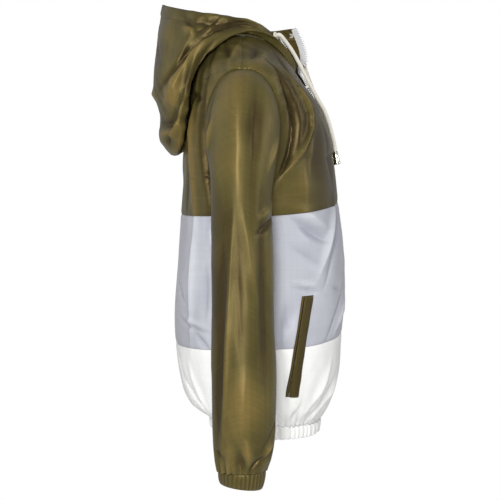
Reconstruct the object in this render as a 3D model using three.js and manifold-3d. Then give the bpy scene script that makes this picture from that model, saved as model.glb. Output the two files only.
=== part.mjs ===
// A hooded colour-block windbreaker in a youth size, filled out as if worn, with both arms hanging.
//
// Millimetres, +Z up. The wearer faces -Y and the wearer's right hand is at -X. The origin is the
// middle of the neck opening, level with the shoulder seams, where the jacket hangs on its wearer.
//
// The body is one tube of rings from the hem to the neck. Each panel is a patch of that tube, given
// a wall, and stops short of its neighbours by a seam gap. The sleeves grow out of the armholes, and
// the hood grows out of the neck ring, lies back over the shoulders and hangs down as a bag.

import * as THREE from "three";
import { mergeVertices } from "three/addons/utils/BufferGeometryUtils.js";
import Module from "manifold-3d";

const wasm = await Module();
wasm.setup();

// ---------------------------------------------------------------- driving dimensions

const CLOTH = 1.2; // wall of one layer of shell cloth
const BAND = 2.4; // wall of the elastic casings, two layers and the elastic
const SEAM = 0.4; // gap between two pieces that are sewn together
const ROUND = Math.PI;

const ARMHOLE = { y: 0, z: -120.5, halfDepth: 46, halfHeight: 69.5, power: 2.3, steps: 10 };
const ZIP = { edge: 9, exposed: 6, tuck: 4, chainIn: 8.7, tape: 0.8, chain: 2.4, sink: 0.7, under: 0.6 };
const SLIDER = { frontZ: -72, half: 5.5, spread: 3, wide: 5.2, plate: 1.4, post: 1.3, play: 0.6, short: 2 };
const LUG = { half: 1, from: 0.5, to: 5.5, lift: 0.9, play: 0.3 }; // holds the pull tab's pin on the slider
const BOX = { tall: 9, thick: 4.4, half: 5.4, cap: 2, over: 1.3, gap: 0.5 };
const BITE = 0.1; // how far parts of one moulded piece run into each other
const NECK_SPREAD = 8; // how far each front edge has opened at the neck seam
const HOOD_LIFT = 1; // the hood starts this far above the neck edge
const NECK_LEAN = { right: 5, left: -5 }; // the right front edge falls back, the left one stands forward

// Rings of the body tube, from the hem up. halfWidth and sideZ place the point under or over the
// side seam; front and back place the points on the centre lines; square fills out the corners.
const RING_KEYS = ["name", "halfWidth", "sideZ", "frontY", "frontZ", "backY", "backZ", "square"];
const RINGS = [
  ["hem", 121, -550, -108, -555, 44, -550, 0.03],
  ["hemTop", 122, -533, -110, -538, 47, -533, 0.03],
  ["billow", 147, -509, -125, -512, 77, -511, 0.04],
  ["blouse", 160, -472, -136.5, -472, 90, -478, 0.05],
  ["lowSeam", 164, -421, -140, -414, 95.5, -429, 0.06],
  ["waist", 164, -364, -144.5, -358, 95.5, -370, 0.06],
  ["ribs", 162, -302, -142, -293, 91.5, -308, 0.06],
  ["highSeam", 161, -243, -134.5, -231, 87.5, -248, 0.06],
  ["armpit", 161, -190, -128.5, -178, 83, -194, 0.06],
  ["chest", 168, -118, -122, -138, 79, -130, 0.07],
  ["shoulder", 184, -51, -111, -104, 74, -72, -0.02],
  ["yoke", 134, -26, -95, -78, 69, -34, -0.01],
  ["neck", 76, 0, -80, -52, 58, 6, 0],
].map((values) => Object.fromEntries(values.map((value, i) => [RING_KEYS[i], value])));
const ring = (name) => RINGS.findIndex((row) => row.name === name);

// Rings of a sleeve below the armhole: x is how far out its centre hangs.
const SLEEVE_RINGS = [
  { z: -215, x: 207.5, y: 1.5, halfWidth: 44, halfDepth: 39.5 },
  { z: -265, x: 209, y: 0.5, halfWidth: 43.5, halfDepth: 39.5 },
  { z: -320, x: 211, y: 0, halfWidth: 43, halfDepth: 40 },
  { z: -380, x: 214, y: -1, halfWidth: 42.5, halfDepth: 40.5 },
  { z: -440, x: 216.5, y: -2, halfWidth: 42, halfDepth: 41.5 },
  { z: -495, x: 218, y: -2.5, halfWidth: 41.5, halfDepth: 41.5 },
  { z: -528, x: 218.5, y: -2.5, halfWidth: 40, halfDepth: 40 },
  { z: -551, x: 219, y: -1.5, halfWidth: 36.5, halfDepth: 37 },
  { z: -569, x: 219, y: 0, halfWidth: 31.5, halfDepth: 32 },
];
const CUFF = [
  { z: -569, x: 219, y: 0, halfWidth: 30.5, halfDepth: 31 },
  { z: -590, x: 219, y: 1.5, halfWidth: 27.5, halfDepth: 28 },
];
const CAP_STEPS = 5; // rings between the armhole and the first sleeve ring
// The way a sleeve line leaves the armhole and meets the first ring, [out, along y, down] at the
// armpit and at the shoulder.
const CAP_LEAVE = { out: [0.9, 0.95], round: 0.3, rise: [-0.45, -0.3] };
const CAP_ARRIVE = { out: [0.05, 0.04], rise: -1 };
const SLEEVE_GAP = 0.7; // the sleeve head starts this far from the armhole

// Stations of half the hood, from the front edge (along 0) round to the centre back (along 1).
// The cloth leaves the neck seam, rolls over, lies down on the shoulder or the back, turns up at
// the fold and comes back up to the face edge. Points are [out from the middle, y, z].
const HOOD = [
  {
    along: 0, rollUp: 7, rollOut: 0,
    lay: [23, -69, -38], foldIn: [28, -64, -31], foldOut: [31, -60, -24], dent: [34, -56.5, -17],
    swell: [37, -53, -11], upper: [40, -49.5, -4.5], face: [42, -46, 2],
  },
  {
    along: 0.14, rollUp: 10, rollOut: 4,
    lay: [60, -45, -12], foldIn: [74, -22, -2], foldOut: [76, -21, 0], dent: [76, -22, 3],
    swell: [74, -24, 6], upper: [71, -26, 9], face: [67, -28, 12],
  },
  {
    along: 0.3, rollUp: 9, rollOut: 8,
    lay: [88, -14, 3], foldIn: [98, 14, -2], foldOut: [101, 15, 1], dent: [101, 14, 6],
    swell: [99, 11, 11], upper: [94, 6, 17], face: [88, 0, 21],
  },
  {
    along: 0.45, rollUp: 9, rollOut: 10,
    lay: [106, 24, -5], foldIn: [114, 53, -34], foldOut: [118, 57, -30], dent: [118, 57, -23],
    swell: [114, 53, -11], upper: [106, 41, 6], face: [95, 28, 25],
  },
  {
    along: 0.53, rollUp: 9, rollOut: 9,
    lay: [106, 49, -14], foldIn: [108, 73, -88], foldOut: [113, 80, -83], dent: [113, 80, -64],
    swell: [110, 76, -36], upper: [104, 63, -2], face: [92, 45, 27],
  },
  {
    along: 0.62, rollUp: 9, rollOut: 9,
    lay: [97, 64, -40], foldIn: [95, 80, -142], foldOut: [98, 92, -134], dent: [100, 91, -100],
    swell: [104, 95, -55], upper: [99, 82, -8], face: [86, 62, 30],
  },
  {
    along: 0.8, rollUp: 9, rollOut: 8,
    lay: [66, 77, -62], foldIn: [67, 86, -158], foldOut: [64, 111, -143], dent: [63, 112, -105],
    swell: [65, 120, -62], upper: [60, 111, -6], face: [52, 95, 38],
  },
  {
    along: 1, rollUp: 9, rollOut: 8,
    lay: [0, 81, -60], foldIn: [0, 92, -162], foldOut: [0, 117, -144], dent: [0, 118, -107],
    swell: [0, 127, -66], upper: [0, 121, -4], face: [0, 114, 46],
  },
];
const HOOD_LEFT_FRONT = [
  {
    lay: [18.5, -86.5, -35], foldIn: [19.5, -86.5, -27], foldOut: [20.5, -85.5, -19],
    dent: [21.5, -83.5, -11], swell: [22.5, -80.5, -3], upper: [23.3, -77, 6], face: [24, -73, 14],
  },
  {
    lay: [50, -60, -18.5], foldIn: [60, -46, -9], foldOut: [64, -42, -5], dent: [66, -39, 0],
    swell: [67, -37, 5], upper: [67, -36, 9], face: [66, -36, 13],
  },
];
const HOOD_LINE = ["lay", "foldIn", "foldOut", "dent", "swell", "upper", "face"];
const HOOD_STEPS = 16; // rows of the hood from neck seam to face edge

const WELT = {
  top: -350, bottom: -487, topY: -87, bottomY: -66,
  ahead: 8.8, behind: 4.2, facing: 4.4, thick: 2, rest: 0.5, steps: 8,
};
const EYELET = { along: 0.034, up: 0.87, outer: 6, hole: 3.2, thick: 1.6, rest: 0.5, segments: 16 };
const CORD = { radius: 2.7, sides: 8, start: 0.8, lead: 8 };
const CORD_END = { length: 18, neck: 3.2, mouth: 4.4, segments: 12 };

// The free ends of the drawcord, from the eyelet down over the chest: how far out from the middle,
// and the point. Chosen by hand to lie just clear of the front.
const CORD_ROUTE = {
  right: [
    [-45, -59, -8], [-39, -68, -20], [-32.5, -76.5, -34], [-28, -83.5, -47], [-25, -90.5, -60],
    [-22, -98, -74], [-18.5, -105.6, -88], [-17, -114, -102], [-16, -120, -117], [-15.5, -124.3, -132],
    [-15, -128, -147], [-15, -130.4, -160.5],
  ],
  left: [
    [39, -79.5, -4], [36, -83.5, -15], [31.5, -86.5, -28], [28, -89, -42], [25, -92.5, -53],
    [23.5, -96, -63], [22, -100.5, -75], [20, -106.6, -88], [18, -114.3, -102], [16.5, -120, -117],
    [15.5, -124.3, -132], [15, -128, -147], [15, -130.6, -162],
  ],
};

const PULL = {
  length: 26, halfWidth: 3.8, thick: 1.6, pin: 0.8, arm: 1.2, // the tab, its pin and its two arms
  pivot: 3, eye: 1.3, shoulder: -3.5, bridge: -1.6, lift: 0.5, wrap: 0.2,
};

const COLOURS = {
  olive: 0x6f6540,
  grey: 0xb4b6c4,
  white: 0xf1f2f0,
  ivory: 0xf3efdc,
  metal: 0xc9c8b4,
};

// ---------------------------------------------------------------- small helpers

const vec = (x, y, z) => new THREE.Vector3(x, y, z);
const lerp = THREE.MathUtils.lerp;

// The value of a column at a fractional row, through the rows on both sides of it.
function along(values, at) {
  const i = Math.min(Math.max(Math.floor(at), 0), values.length - 2);
  const f = at - i;
  const [a, b, c, d] = [-1, 0, 1, 2].map((k) => {
    const j = i + k;
    if (j < 0) return 2 * values[0] - values[1];
    if (j >= values.length) return 2 * values[values.length - 1] - values[values.length - 2];
    return values[j];
  });
  const bend = 2 * a - 5 * b + 4 * c - d;
  const twist = 3 * b - a - 3 * c + d;
  return 0.5 * (2 * b + (c - a) * f + bend * f * f + twist * f ** 3);
}

const column = (rows, key) => rows.map((row) => row[key]);

// The unit normal of surface(u, v), turned to the side that `outward` says.
function normalOf(surface, u, v, outward) {
  const e = 1e-3;
  const du = surface(u + e, v).sub(surface(u - e, v));
  const dv = surface(u, v + e).sub(surface(u, v - e));
  const n = du.cross(dv).normalize();
  return n.dot(outward) < 0 ? n.negate() : n;
}

// A closed wall from two grids of points with the same rows and columns. A grid that is round
// joins its last column to its first. Each cell is split along its shorter diagonal.
function wall(outer, inner, isRound = false) {
  const rows = outer.length;
  const cols = outer[0].length;
  const points = [...outer.flat(), ...inner.flat()];
  const triangles = [];
  const at = (layer, i, j) => layer * rows * cols + i * cols + (j % cols);
  const quad = (a, b, c, d) => triangles.push([a, b, c], [a, c, d]);
  const lastCol = isRound ? cols : cols - 1;
  for (let i = 0; i < rows - 1; i++)
    for (let j = 0; j < lastCol; j++) {
      const next = (j + 1) % cols;
      const oneWay = outer[i][j].distanceTo(outer[i + 1][next]);
      const otherWay = outer[i][next].distanceTo(outer[i + 1][j]);
      for (const layer of [0, 1]) {
        const [a, b] = [at(layer, i, j), at(layer, i, j + 1)];
        const [c, d] = [at(layer, i + 1, j + 1), at(layer, i + 1, j)];
        const cell = otherWay < oneWay ? [[b, c, d], [b, d, a]] : [[a, b, c], [a, c, d]];
        triangles.push(...(layer ? cell.map(([x, y, z]) => [x, z, y]) : cell));
      }
    }
  for (let j = 0; j < lastCol; j++) {
    quad(at(0, 0, j), at(1, 0, j), at(1, 0, j + 1), at(0, 0, j + 1));
    const e = rows - 1;
    quad(at(0, e, j), at(0, e, j + 1), at(1, e, j + 1), at(1, e, j));
  }
  if (!isRound)
    for (let i = 0; i < rows - 1; i++) {
      const e = cols - 1;
      quad(at(0, i, 0), at(0, i + 1, 0), at(1, i + 1, 0), at(1, i, 0));
      quad(at(0, i, e), at(1, i, e), at(1, i + 1, e), at(0, i + 1, e));
    }
  return facingOut(points, triangles);
}

// A geometry from points and triangles, turned round if its faces point inwards.
function facingOut(points, triangles) {
  let volume = 0;
  for (const [a, b, c] of triangles)
    volume += points[a].dot(points[b].clone().cross(points[c]));
  const index = triangles.flatMap(([a, b, c]) => (volume < 0 ? [a, c, b] : [a, b, c]));
  const geometry = new THREE.BufferGeometry();
  geometry.setAttribute("position", new THREE.Float32BufferAttribute(points.flatMap((p) => p.toArray()), 3));
  geometry.setIndex(index);
  geometry.computeVertexNormals();
  return geometry;
}

// A bar of rectangular section along frames {p, across, out}: from s0 to s1 across, d0 to d1 out.
function ribbon(frames, s0, s1, d0, d1) {
  const corner = (f, s, d) => f.p.clone().addScaledVector(f.across, s).addScaledVector(f.out, d);
  const outer = frames.map((f) => [corner(f, s0, d1), corner(f, s1, d1)]);
  const inner = frames.map((f) => [corner(f, s0, d0), corner(f, s1, d0)]);
  return wall(outer, inner);
}

function solid(geometry) {
  const bare = geometry.clone();
  for (const name of ["normal", "uv"]) bare.deleteAttribute(name);
  const merged = mergeVertices(bare, 1e-4);
  return new wasm.Manifold(
    new wasm.Mesh({
      numProp: 3,
      vertProperties: merged.attributes.position.array,
      triVerts: new Uint32Array(merged.index.array),
    }),
  );
}

function geometryOf(made) {
  const mesh = made.getMesh();
  const geometry = new THREE.BufferGeometry();
  geometry.setAttribute("position", new THREE.BufferAttribute(Float32Array.from(mesh.vertProperties), 3));
  geometry.setIndex(new THREE.BufferAttribute(Uint32Array.from(mesh.triVerts), 1));
  geometry.computeVertexNormals();
  return geometry;
}

const jacket = new THREE.Group();

function add(name, geometry, colour, { roughness = 0.55, metalness = 0, parent = jacket } = {}) {
  const material = new THREE.MeshStandardMaterial({ color: COLOURS[colour], roughness, metalness });
  const mesh = new THREE.Mesh(geometry, material);
  mesh.name = name;
  parent.add(mesh);
  return mesh;
}

// ---------------------------------------------------------------- body tube

const RING_COLUMNS = Object.fromEntries(
  Object.keys(RINGS[0])
    .filter((key) => key !== "name")
    .map((key) => [key, column(RINGS, key)]),
);
const NECK_ROW = ring("neck");

// A point of the body tube: turn 0 is the centre front, half a turn the centre back. side is -1 on
// the wearer's right and 1 on the left; row counts the rings and may lie between them.
function body(side, turn, row) {
  const value = (key) => along(RING_COLUMNS[key], row);
  const swell = 1 + value("square") * Math.sin(2 * turn) ** 2;
  const forward = Math.cos(turn);
  const isFront = forward > 0;
  const middleY = lerp(value("frontY"), value("backY"), 0.5) * sideShare(row);
  const endY = value(isFront ? "frontY" : "backY");
  const endZ = value(isFront ? "frontZ" : "backZ");
  const sideZ = value("sideZ");
  const reach = Math.abs(forward);
  const lean = isFront ? neckLean(side, row) * reach ** 3 : 0;
  return vec(
    side * value("halfWidth") * Math.sin(turn) * swell,
    middleY + (endY - middleY) * reach * swell + lean,
    sideZ + (endZ - sideZ) * reach ** 2,
  );
}

// The side points lie midway between front and back below the arms, and over the shoulder at y = 0.
function sideShare(row) {
  return 1 - THREE.MathUtils.smoothstep(row, ring("highSeam"), ring("shoulder"));
}

function neckLean(side, row) {
  const amount = side < 0 ? NECK_LEAN.right : NECK_LEAN.left;
  return amount * THREE.MathUtils.smoothstep(row, ring("shoulder"), NECK_ROW);
}

function bodyNormal(side, turn, row) {
  const p = body(side, turn, row);
  return normalOf((a, b) => body(side, a, b), turn, row, vec(p.x, p.y + 20, 40));
}

// How far the front edge stands from the middle: closed up to the slider, then spreading.
function edgeOffset(row) {
  const z = along(RING_COLUMNS.frontZ, row);
  const from = SLIDER.frontZ - SLIDER.half;
  const to = SLIDER.frontZ + SLIDER.half;
  if (z <= from) return ZIP.edge;
  if (z <= to) return ZIP.edge + (SLIDER.spread * (z - from)) / (to - from);
  const neckZ = RINGS[NECK_ROW].frontZ;
  return ZIP.edge + lerp(SLIDER.spread, NECK_SPREAD, Math.min(1, (z - to) / (neckZ - to)));
}

const edgeTurn = (row) => Math.asin(edgeOffset(row) / along(RING_COLUMNS.halfWidth, row));

// The rows where the panels have points: two seams, the armhole and the slider are among them.
function rowAtFrontZ(z) {
  let [low, high] = [ring("shoulder"), NECK_ROW];
  for (let i = 0; i < 40; i++) {
    const middle = (low + high) / 2;
    if (along(RING_COLUMNS.frontZ, middle) < z) low = middle;
    else high = middle;
  }
  return low;
}

const spread = (from, to, steps) => Array.from({ length: steps + 1 }, (_, i) => lerp(from, to, i / steps));

// Rows across the armhole lie closer together at its top and bottom, where its edge turns.
const EVEN_SHARE = 0.35;
const armholeRows = spread(0, 1, ARMHOLE.steps).map((f) => {
  const bunched = (1 - Math.cos(ROUND * f)) / 2;
  return lerp(ring("armpit"), ring("shoulder"), lerp(bunched, f, EVEN_SHARE));
});
const UNDER_YOKE_Z = -92;
const yokeRows = [
  rowAtFrontZ(UNDER_YOKE_Z),
  rowAtFrontZ(SLIDER.frontZ - SLIDER.half),
  rowAtFrontZ(SLIDER.frontZ + SLIDER.half),
  NECK_ROW,
];
const UPPER_ROWS = [...spread(ring("highSeam"), ring("armpit"), 2).slice(0, -1), ...armholeRows, ...yokeRows];
const MIDDLE_ROWS = spread(ring("lowSeam"), ring("highSeam"), 4);
const LOWER_ROWS = spread(ring("hemTop"), ring("lowSeam"), 6);
const HEM_ROWS = [ring("hem"), ring("hemTop")];

// The turn where the armhole cuts the tube, or a quarter turn outside the armhole. The armhole is
// an oval when it is looked at from the side.
function armholeTurn(side, row, isFront) {
  const quarter = ROUND / 2;
  if (row <= ring("armpit") || row >= ring("shoulder")) return quarter;
  const outside = (turn) => {
    const p = body(side, turn, row);
    const [across, up] = [(p.y - ARMHOLE.y) / ARMHOLE.halfDepth, (p.z - ARMHOLE.z) / ARMHOLE.halfHeight];
    return Math.abs(across) ** ARMHOLE.power + Math.abs(up) ** ARMHOLE.power > 1;
  };
  let near = quarter;
  let far = isFront ? 0.2 : ROUND - 0.2;
  for (let i = 0; i < 40; i++) {
    const middle = (near + far) / 2;
    if (outside(middle)) far = middle;
    else near = middle;
  }
  return near;
}

// A turn moved along its ring by a distance.
function shifted(side, turn, row, distance) {
  const step = 1e-3;
  const speed = body(side, turn + step, row).distanceTo(body(side, turn - step, row)) / (2 * step);
  return turn + distance / speed;
}

// Rows drawn in by half a seam gap at both ends.
function trimmed(rows, atStart = true, atEnd = true) {
  const step = 1e-3;
  const rate = (row, way) =>
    body(1, ROUND / 3, row).distanceTo(body(1, ROUND / 3, row + way * step)) / step;
  const out = [...rows];
  const last = rows.length - 1;
  if (atStart) out[0] += SEAM / 2 / rate(rows[0], 1);
  if (atEnd) out[last] -= SEAM / 2 / rate(rows[last], -1);
  return out;
}

const FRONT_COLUMNS = 7;
const BACK_COLUMNS = 8;

function frontTurns(side, row) {
  const from = edgeTurn(row);
  const to = shifted(side, armholeTurn(side, row, true), row, -SEAM / 2);
  return spread(from, to, FRONT_COLUMNS);
}

// Half a back ring, from the side seam or armhole to the centre back.
function backTurns(side, row) {
  return spread(shifted(side, armholeTurn(side, row, false), row, SEAM / 2), ROUND, BACK_COLUMNS);
}

const bodyPoint = (side, turn, row, out) =>
  body(side, turn, row).addScaledVector(bodyNormal(side, turn, row), out);

function frontPanel(side, rows) {
  const line = (row, out) => frontTurns(side, row).map((turn) => bodyPoint(side, turn, row, out));
  const grid = (out) => rows.map((row) => line(row, out));
  return wall(grid(0), grid(-CLOTH));
}

function backRow(row, out) {
  const right = backTurns(-1, row).map((turn) => bodyPoint(-1, turn, row, out));
  const left = backTurns(1, row).map((turn) => bodyPoint(1, turn, row, out));
  return [...right, ...left.reverse().slice(1)];
}

const backPanel = (rows) => wall(rows.map((row) => backRow(row, 0)), rows.map((row) => backRow(row, -CLOTH)));

// The elastic hem casing: one band from front edge to front edge.
function hemBand() {
  const half = (side, row, out) => [
    ...frontTurns(side, row).map((turn) => bodyPoint(side, turn, row, out)),
    ...backTurns(side, row).slice(1).map((turn) => bodyPoint(side, turn, row, out)),
  ];
  const rows = trimmed(HEM_ROWS, false, true);
  const line = (row, out) => [...half(-1, row, out), ...half(1, row, out).reverse().slice(1)];
  return wall(rows.map((row) => line(row, BAND / 2)), rows.map((row) => line(row, -BAND / 2)));
}

function addBody() {
  const bands = [
    { name: "upper", rows: trimmed(UPPER_ROWS), colour: "olive" },
    { name: "middle", rows: trimmed(MIDDLE_ROWS), colour: "grey" },
    { name: "lower", rows: trimmed(LOWER_ROWS), colour: "white" },
  ];
  for (const { name, rows, colour } of bands) {
    add(`front_${name}_right`, frontPanel(-1, rows), colour);
    add(`front_${name}_left`, frontPanel(1, rows), colour);
    add(`back_${name}`, backPanel(rows), colour);
  }
  add("hem_band", hemBand(), "white");
}

// ---------------------------------------------------------------- sleeves

// The points of one armhole, from the armpit up the front to the shoulder and down the back, with
// the angle of each seen from the side. They are the edge points of the upper panels.
function armhole(side) {
  const point = (row, isFront) => {
    const p = body(side, armholeTurn(side, row, isFront), row);
    const angle = Math.atan2(
      (p.y - ARMHOLE.y) / ARMHOLE.halfDepth,
      -(p.z - ARMHOLE.z) / ARMHOLE.halfHeight,
    );
    return { p, angle };
  };
  const up = armholeRows.map((row) => point(row, true));
  const down = armholeRows.slice(1, -1).reverse().map((row) => point(row, false));
  return [...up, ...down];
}

function sleeveRing(side, angle, { x, y, z, halfWidth, halfDepth }) {
  return vec(side * (x - halfWidth * Math.cos(angle)), y + halfDepth * Math.sin(angle), z);
}

// The sleeve head: each line leaves the armhole outwards and bends down into the first ring.
function capPoint(side, { p, angle }, f) {
  const end = sleeveRing(side, angle, SLEEVE_RINGS[0]);
  const reach = end.distanceTo(p);
  const top = (1 - Math.cos(angle)) / 2;
  const leave = vec(
    side * lerp(...CAP_LEAVE.out, top),
    CAP_LEAVE.round * Math.sin(angle),
    lerp(...CAP_LEAVE.rise, top),
  );
  const arrive = vec(side * lerp(...CAP_ARRIVE.out, top), 0, CAP_ARRIVE.rise);
  leave.normalize().multiplyScalar(reach);
  arrive.normalize().multiplyScalar(reach);
  const [f2, f3] = [f * f, f ** 3];
  return vec(0, 0, 0)
    .addScaledVector(p, 2 * f3 - 3 * f2 + 1)
    .addScaledVector(leave, f3 - 2 * f2 + f)
    .addScaledVector(end, 3 * f2 - 2 * f3)
    .addScaledVector(arrive, f3 - f2);
}

function sleeveGrid(side) {
  const hole = armhole(side);
  const rows = [];
  for (let i = 0; i < CAP_STEPS; i++)
    rows.push(hole.map((point) => {
      const start = SLEEVE_GAP / sleeveRing(side, point.angle, SLEEVE_RINGS[0]).distanceTo(point.p);
      return capPoint(side, point, lerp(start, 1, i / CAP_STEPS));
    }));
  const last = SLEEVE_RINGS.length - 1;
  SLEEVE_RINGS.forEach((row, i) => {
    const lifted = i === last ? { ...row, z: row.z + SEAM / 2 } : row;
    rows.push(hole.map(({ angle }) => sleeveRing(side, angle, lifted)));
  });
  return rows;
}

// A tube's inner grid: each point moved in, square to the surface.
function innerGrid(grid, thick) {
  const rows = grid.length;
  const cols = grid[0].length;
  return grid.map((row, i) => {
    const centre = row.reduce((sum, p) => sum.add(p), vec(0, 0, 0)).divideScalar(cols);
    return row.map((p, j) => {
      const round = row[(j + 1) % cols].clone().sub(row[(j + cols - 1) % cols]);
      const down = grid[Math.min(i + 1, rows - 1)][j].clone().sub(grid[Math.max(i - 1, 0)][j]);
      const normal = round.cross(down).normalize();
      if (normal.dot(p.clone().sub(centre)) < 0) normal.negate();
      return p.clone().addScaledVector(normal, -thick);
    });
  });
}

function addSleeve(side, name) {
  const grid = sleeveGrid(side);
  add(`sleeve_${name}`, wall(grid, innerGrid(grid, CLOTH), true), "olive");
  const angles = armhole(side).map(({ angle }) => angle);
  const rows = CUFF.map((row, i) =>
    angles.map((angle) => sleeveRing(side, angle, { ...row, z: i ? row.z : row.z - SEAM / 2 })),
  );
  add(`cuff_${name}`, wall(rows, innerGrid(rows, BAND), true), "olive");
}

// ---------------------------------------------------------------- hood

function hoodRows(side) {
  return HOOD.map((row, i) => (side > 0 && HOOD_LEFT_FRONT[i] ? { ...row, ...HOOD_LEFT_FRONT[i] } : row));
}

const HOOD_ALONG = column(HOOD, "along");

// The station number, with a fraction, of a place along the half hood.
function stationAt(place) {
  let i = 0;
  while (i < HOOD_ALONG.length - 2 && place > HOOD_ALONG[i + 1]) i++;
  return i + (place - HOOD_ALONG[i]) / (HOOD_ALONG[i + 1] - HOOD_ALONG[i]);
}

// A point of the hood: turn is that of the neck ring below it, up runs from neck seam to face edge.
function hood(side, turn, up) {
  const rows = hoodRows(side);
  const start = edgeTurn(NECK_ROW);
  const station = stationAt((turn - start) / (ROUND - start));
  const value = (key) => along(column(rows, key), station);
  const place = (key) => {
    const [x, y, z] = [0, 1, 2].map((k) => along(rows.map((row) => row[key][k]), station));
    return vec(side * x, y, z);
  };
  const neck = body(side, turn, NECK_ROW).add(vec(0, 0, HOOD_LIFT));
  const away = vec(neck.x, neck.y, 0).normalize();
  const roll = neck.clone().addScaledVector(away, value("rollOut")).setZ(neck.z + value("rollUp"));
  const line = [neck, roll, ...HOOD_LINE.map(place)];
  const at = up * (line.length - 1);
  return vec(...["x", "y", "z"].map((axis) => along(line.map((p) => p[axis]), at)));
}

// Points away from the inside of the hood's bag.
function hoodNormal(side, turn, up) {
  const e = 1e-3;
  const round = hood(side, turn + e, up).sub(hood(side, turn - e, up));
  const rise = hood(side, turn, up + e).sub(hood(side, turn, up - e));
  return round.cross(rise).normalize().multiplyScalar(side);
}

// A point of the hood moved out, kept on its own side of the centre back seam and over the neck seam.
function hoodPoint(side, turn, up, out) {
  const p = hood(side, turn, up);
  const seamZ = p.z;
  p.addScaledVector(hoodNormal(side, turn, up), out);
  p.x = side * Math.max(side * p.x, SEAM / 2);
  if (up === 0) p.z = Math.max(p.z, seamZ);
  return p;
}

const HOOD_UPS = spread(0, 1, HOOD_STEPS);

function hoodTurns(side) {
  const front = spread(edgeTurn(NECK_ROW), ROUND / 2, FRONT_COLUMNS);
  const back = spread(ROUND / 2, shifted(side, ROUND, NECK_ROW, -SEAM / 2), BACK_COLUMNS);
  return [...front, ...back.slice(1)];
}

function addHood(side, name) {
  const grid = (out) => HOOD_UPS.map((up) => hoodTurns(side).map((turn) => hoodPoint(side, turn, up, out)));
  add(`hood_${name}`, wall(grid(0), grid(-CLOTH)), "olive");
}

// ---------------------------------------------------------------- zip

// Frames up one front edge, from the hem to the top of the collar: across points to the middle.
function edgeFrames(side, fromZ) {
  const step = 1e-3;
  const rows = [...HEM_ROWS, ...LOWER_ROWS.slice(1), ...MIDDLE_ROWS.slice(1), ...UPPER_ROWS.slice(1)];
  const frames = rows.map((row) => {
    const turn = edgeTurn(row);
    const across = body(side, turn - step, row).sub(body(side, turn + step, row)).normalize();
    return { p: body(side, turn, row), across, out: bodyNormal(side, turn, row) };
  });
  frames[0].p.z = Math.max(frames[0].p.z, fromZ);
  const turn = edgeTurn(NECK_ROW);
  for (const up of HOOD_UPS.filter((_, i) => i > (side < 0 ? 2 : 0) && i % 2 === 0)) {
    const out = hoodNormal(side, turn, up);
    const rise = hood(side, turn, up).sub(hood(side, turn, up - step)).normalize();
    const across = out.clone().cross(rise).normalize();
    if (across.dot(hood(side, turn + step, up).sub(hood(side, turn, up))) > 0) across.negate();
    frames.push({ p: hood(side, turn, up), across, out });
  }
  return eased(frames, rows.length - 1);
}

// Frames from a given one up, set a little deeper, with each direction blended with its neighbours'.
function eased(frames, from) {
  return frames.map((frame, i) => {
    if (i < from || i === frames.length - 1) return frame;
    const blend = (key) =>
      frames[i - 1][key].clone().add(frames[i + 1][key]).addScaledVector(frame[key], 2).normalize();
    const out = blend("out");
    return { p: frame.p.clone().addScaledVector(out, -ZIP.sink), across: blend("across"), out };
  });
}

function addZip() {
  const under = CLOTH + ZIP.under;
  const middle = -(under + ZIP.tape / 2);
  const gloss = { roughness: 0.35 };
  for (const [side, name] of [[-1, "right"], [1, "left"]]) {
    const hemZ = RINGS[0].frontZ;
    const tape = ribbon(edgeFrames(side, hemZ), -ZIP.tuck, ZIP.exposed, -(under + ZIP.tape), -under);
    add(`zip_tape_${name}`, tape, "white");
    const [low, high] = [middle - ZIP.chain / 2, middle + ZIP.chain / 2];
    const frames = edgeFrames(side, hemZ + BOX.tall + SEAM);
    add(`zip_chain_${name}`, ribbon(frames, ZIP.exposed + SEAM, ZIP.chainIn, low, high), "white", gloss);
  }
  addBox(middle);
  addSlider(middle);
}

// The retaining box at the bottom of the zip, between the two tapes.
function addBox(middle) {
  const frames = [0, BOX.tall].map((up) => {
    const row = up / (RINGS[1].frontZ - RINGS[0].frontZ);
    return { p: body(1, 0, row), across: vec(1, 0, 0), out: bodyNormal(1, 0, row) };
  });
  const reach = ZIP.edge - ZIP.exposed - BOX.gap;
  const over = middle + ZIP.tape / 2 + BOX.over;
  const core = ribbon(frames, -reach, reach, middle - BOX.thick / 2, over + BITE);
  const cap = ribbon(frames, -BOX.half, BOX.half, over, over + BOX.cap);
  add("zip_box", union([core, cap]), "white", { roughness: 0.35 });
}

// A box in the frame of the slider: x across, y up the zip, z out of the cloth.
function block(x0, x1, y0, y1, z0, z1) {
  const geometry = new THREE.BoxGeometry(x1 - x0, y1 - y0, z1 - z0);
  return geometry.translate((x0 + x1) / 2, (y0 + y1) / 2, (z0 + z1) / 2);
}

function union(geometries) {
  return geometryOf(geometries.map(solid).reduce((a, b) => a.add(b)));
}

const ROD_SIDES = 16;

// A round bar along x in the frame of the slider.
function rod(radius, length, y, z) {
  return new THREE.CylinderGeometry(radius, radius, length, ROD_SIDES).rotateZ(ROUND / 2).translate(0, y, z);
}

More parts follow.
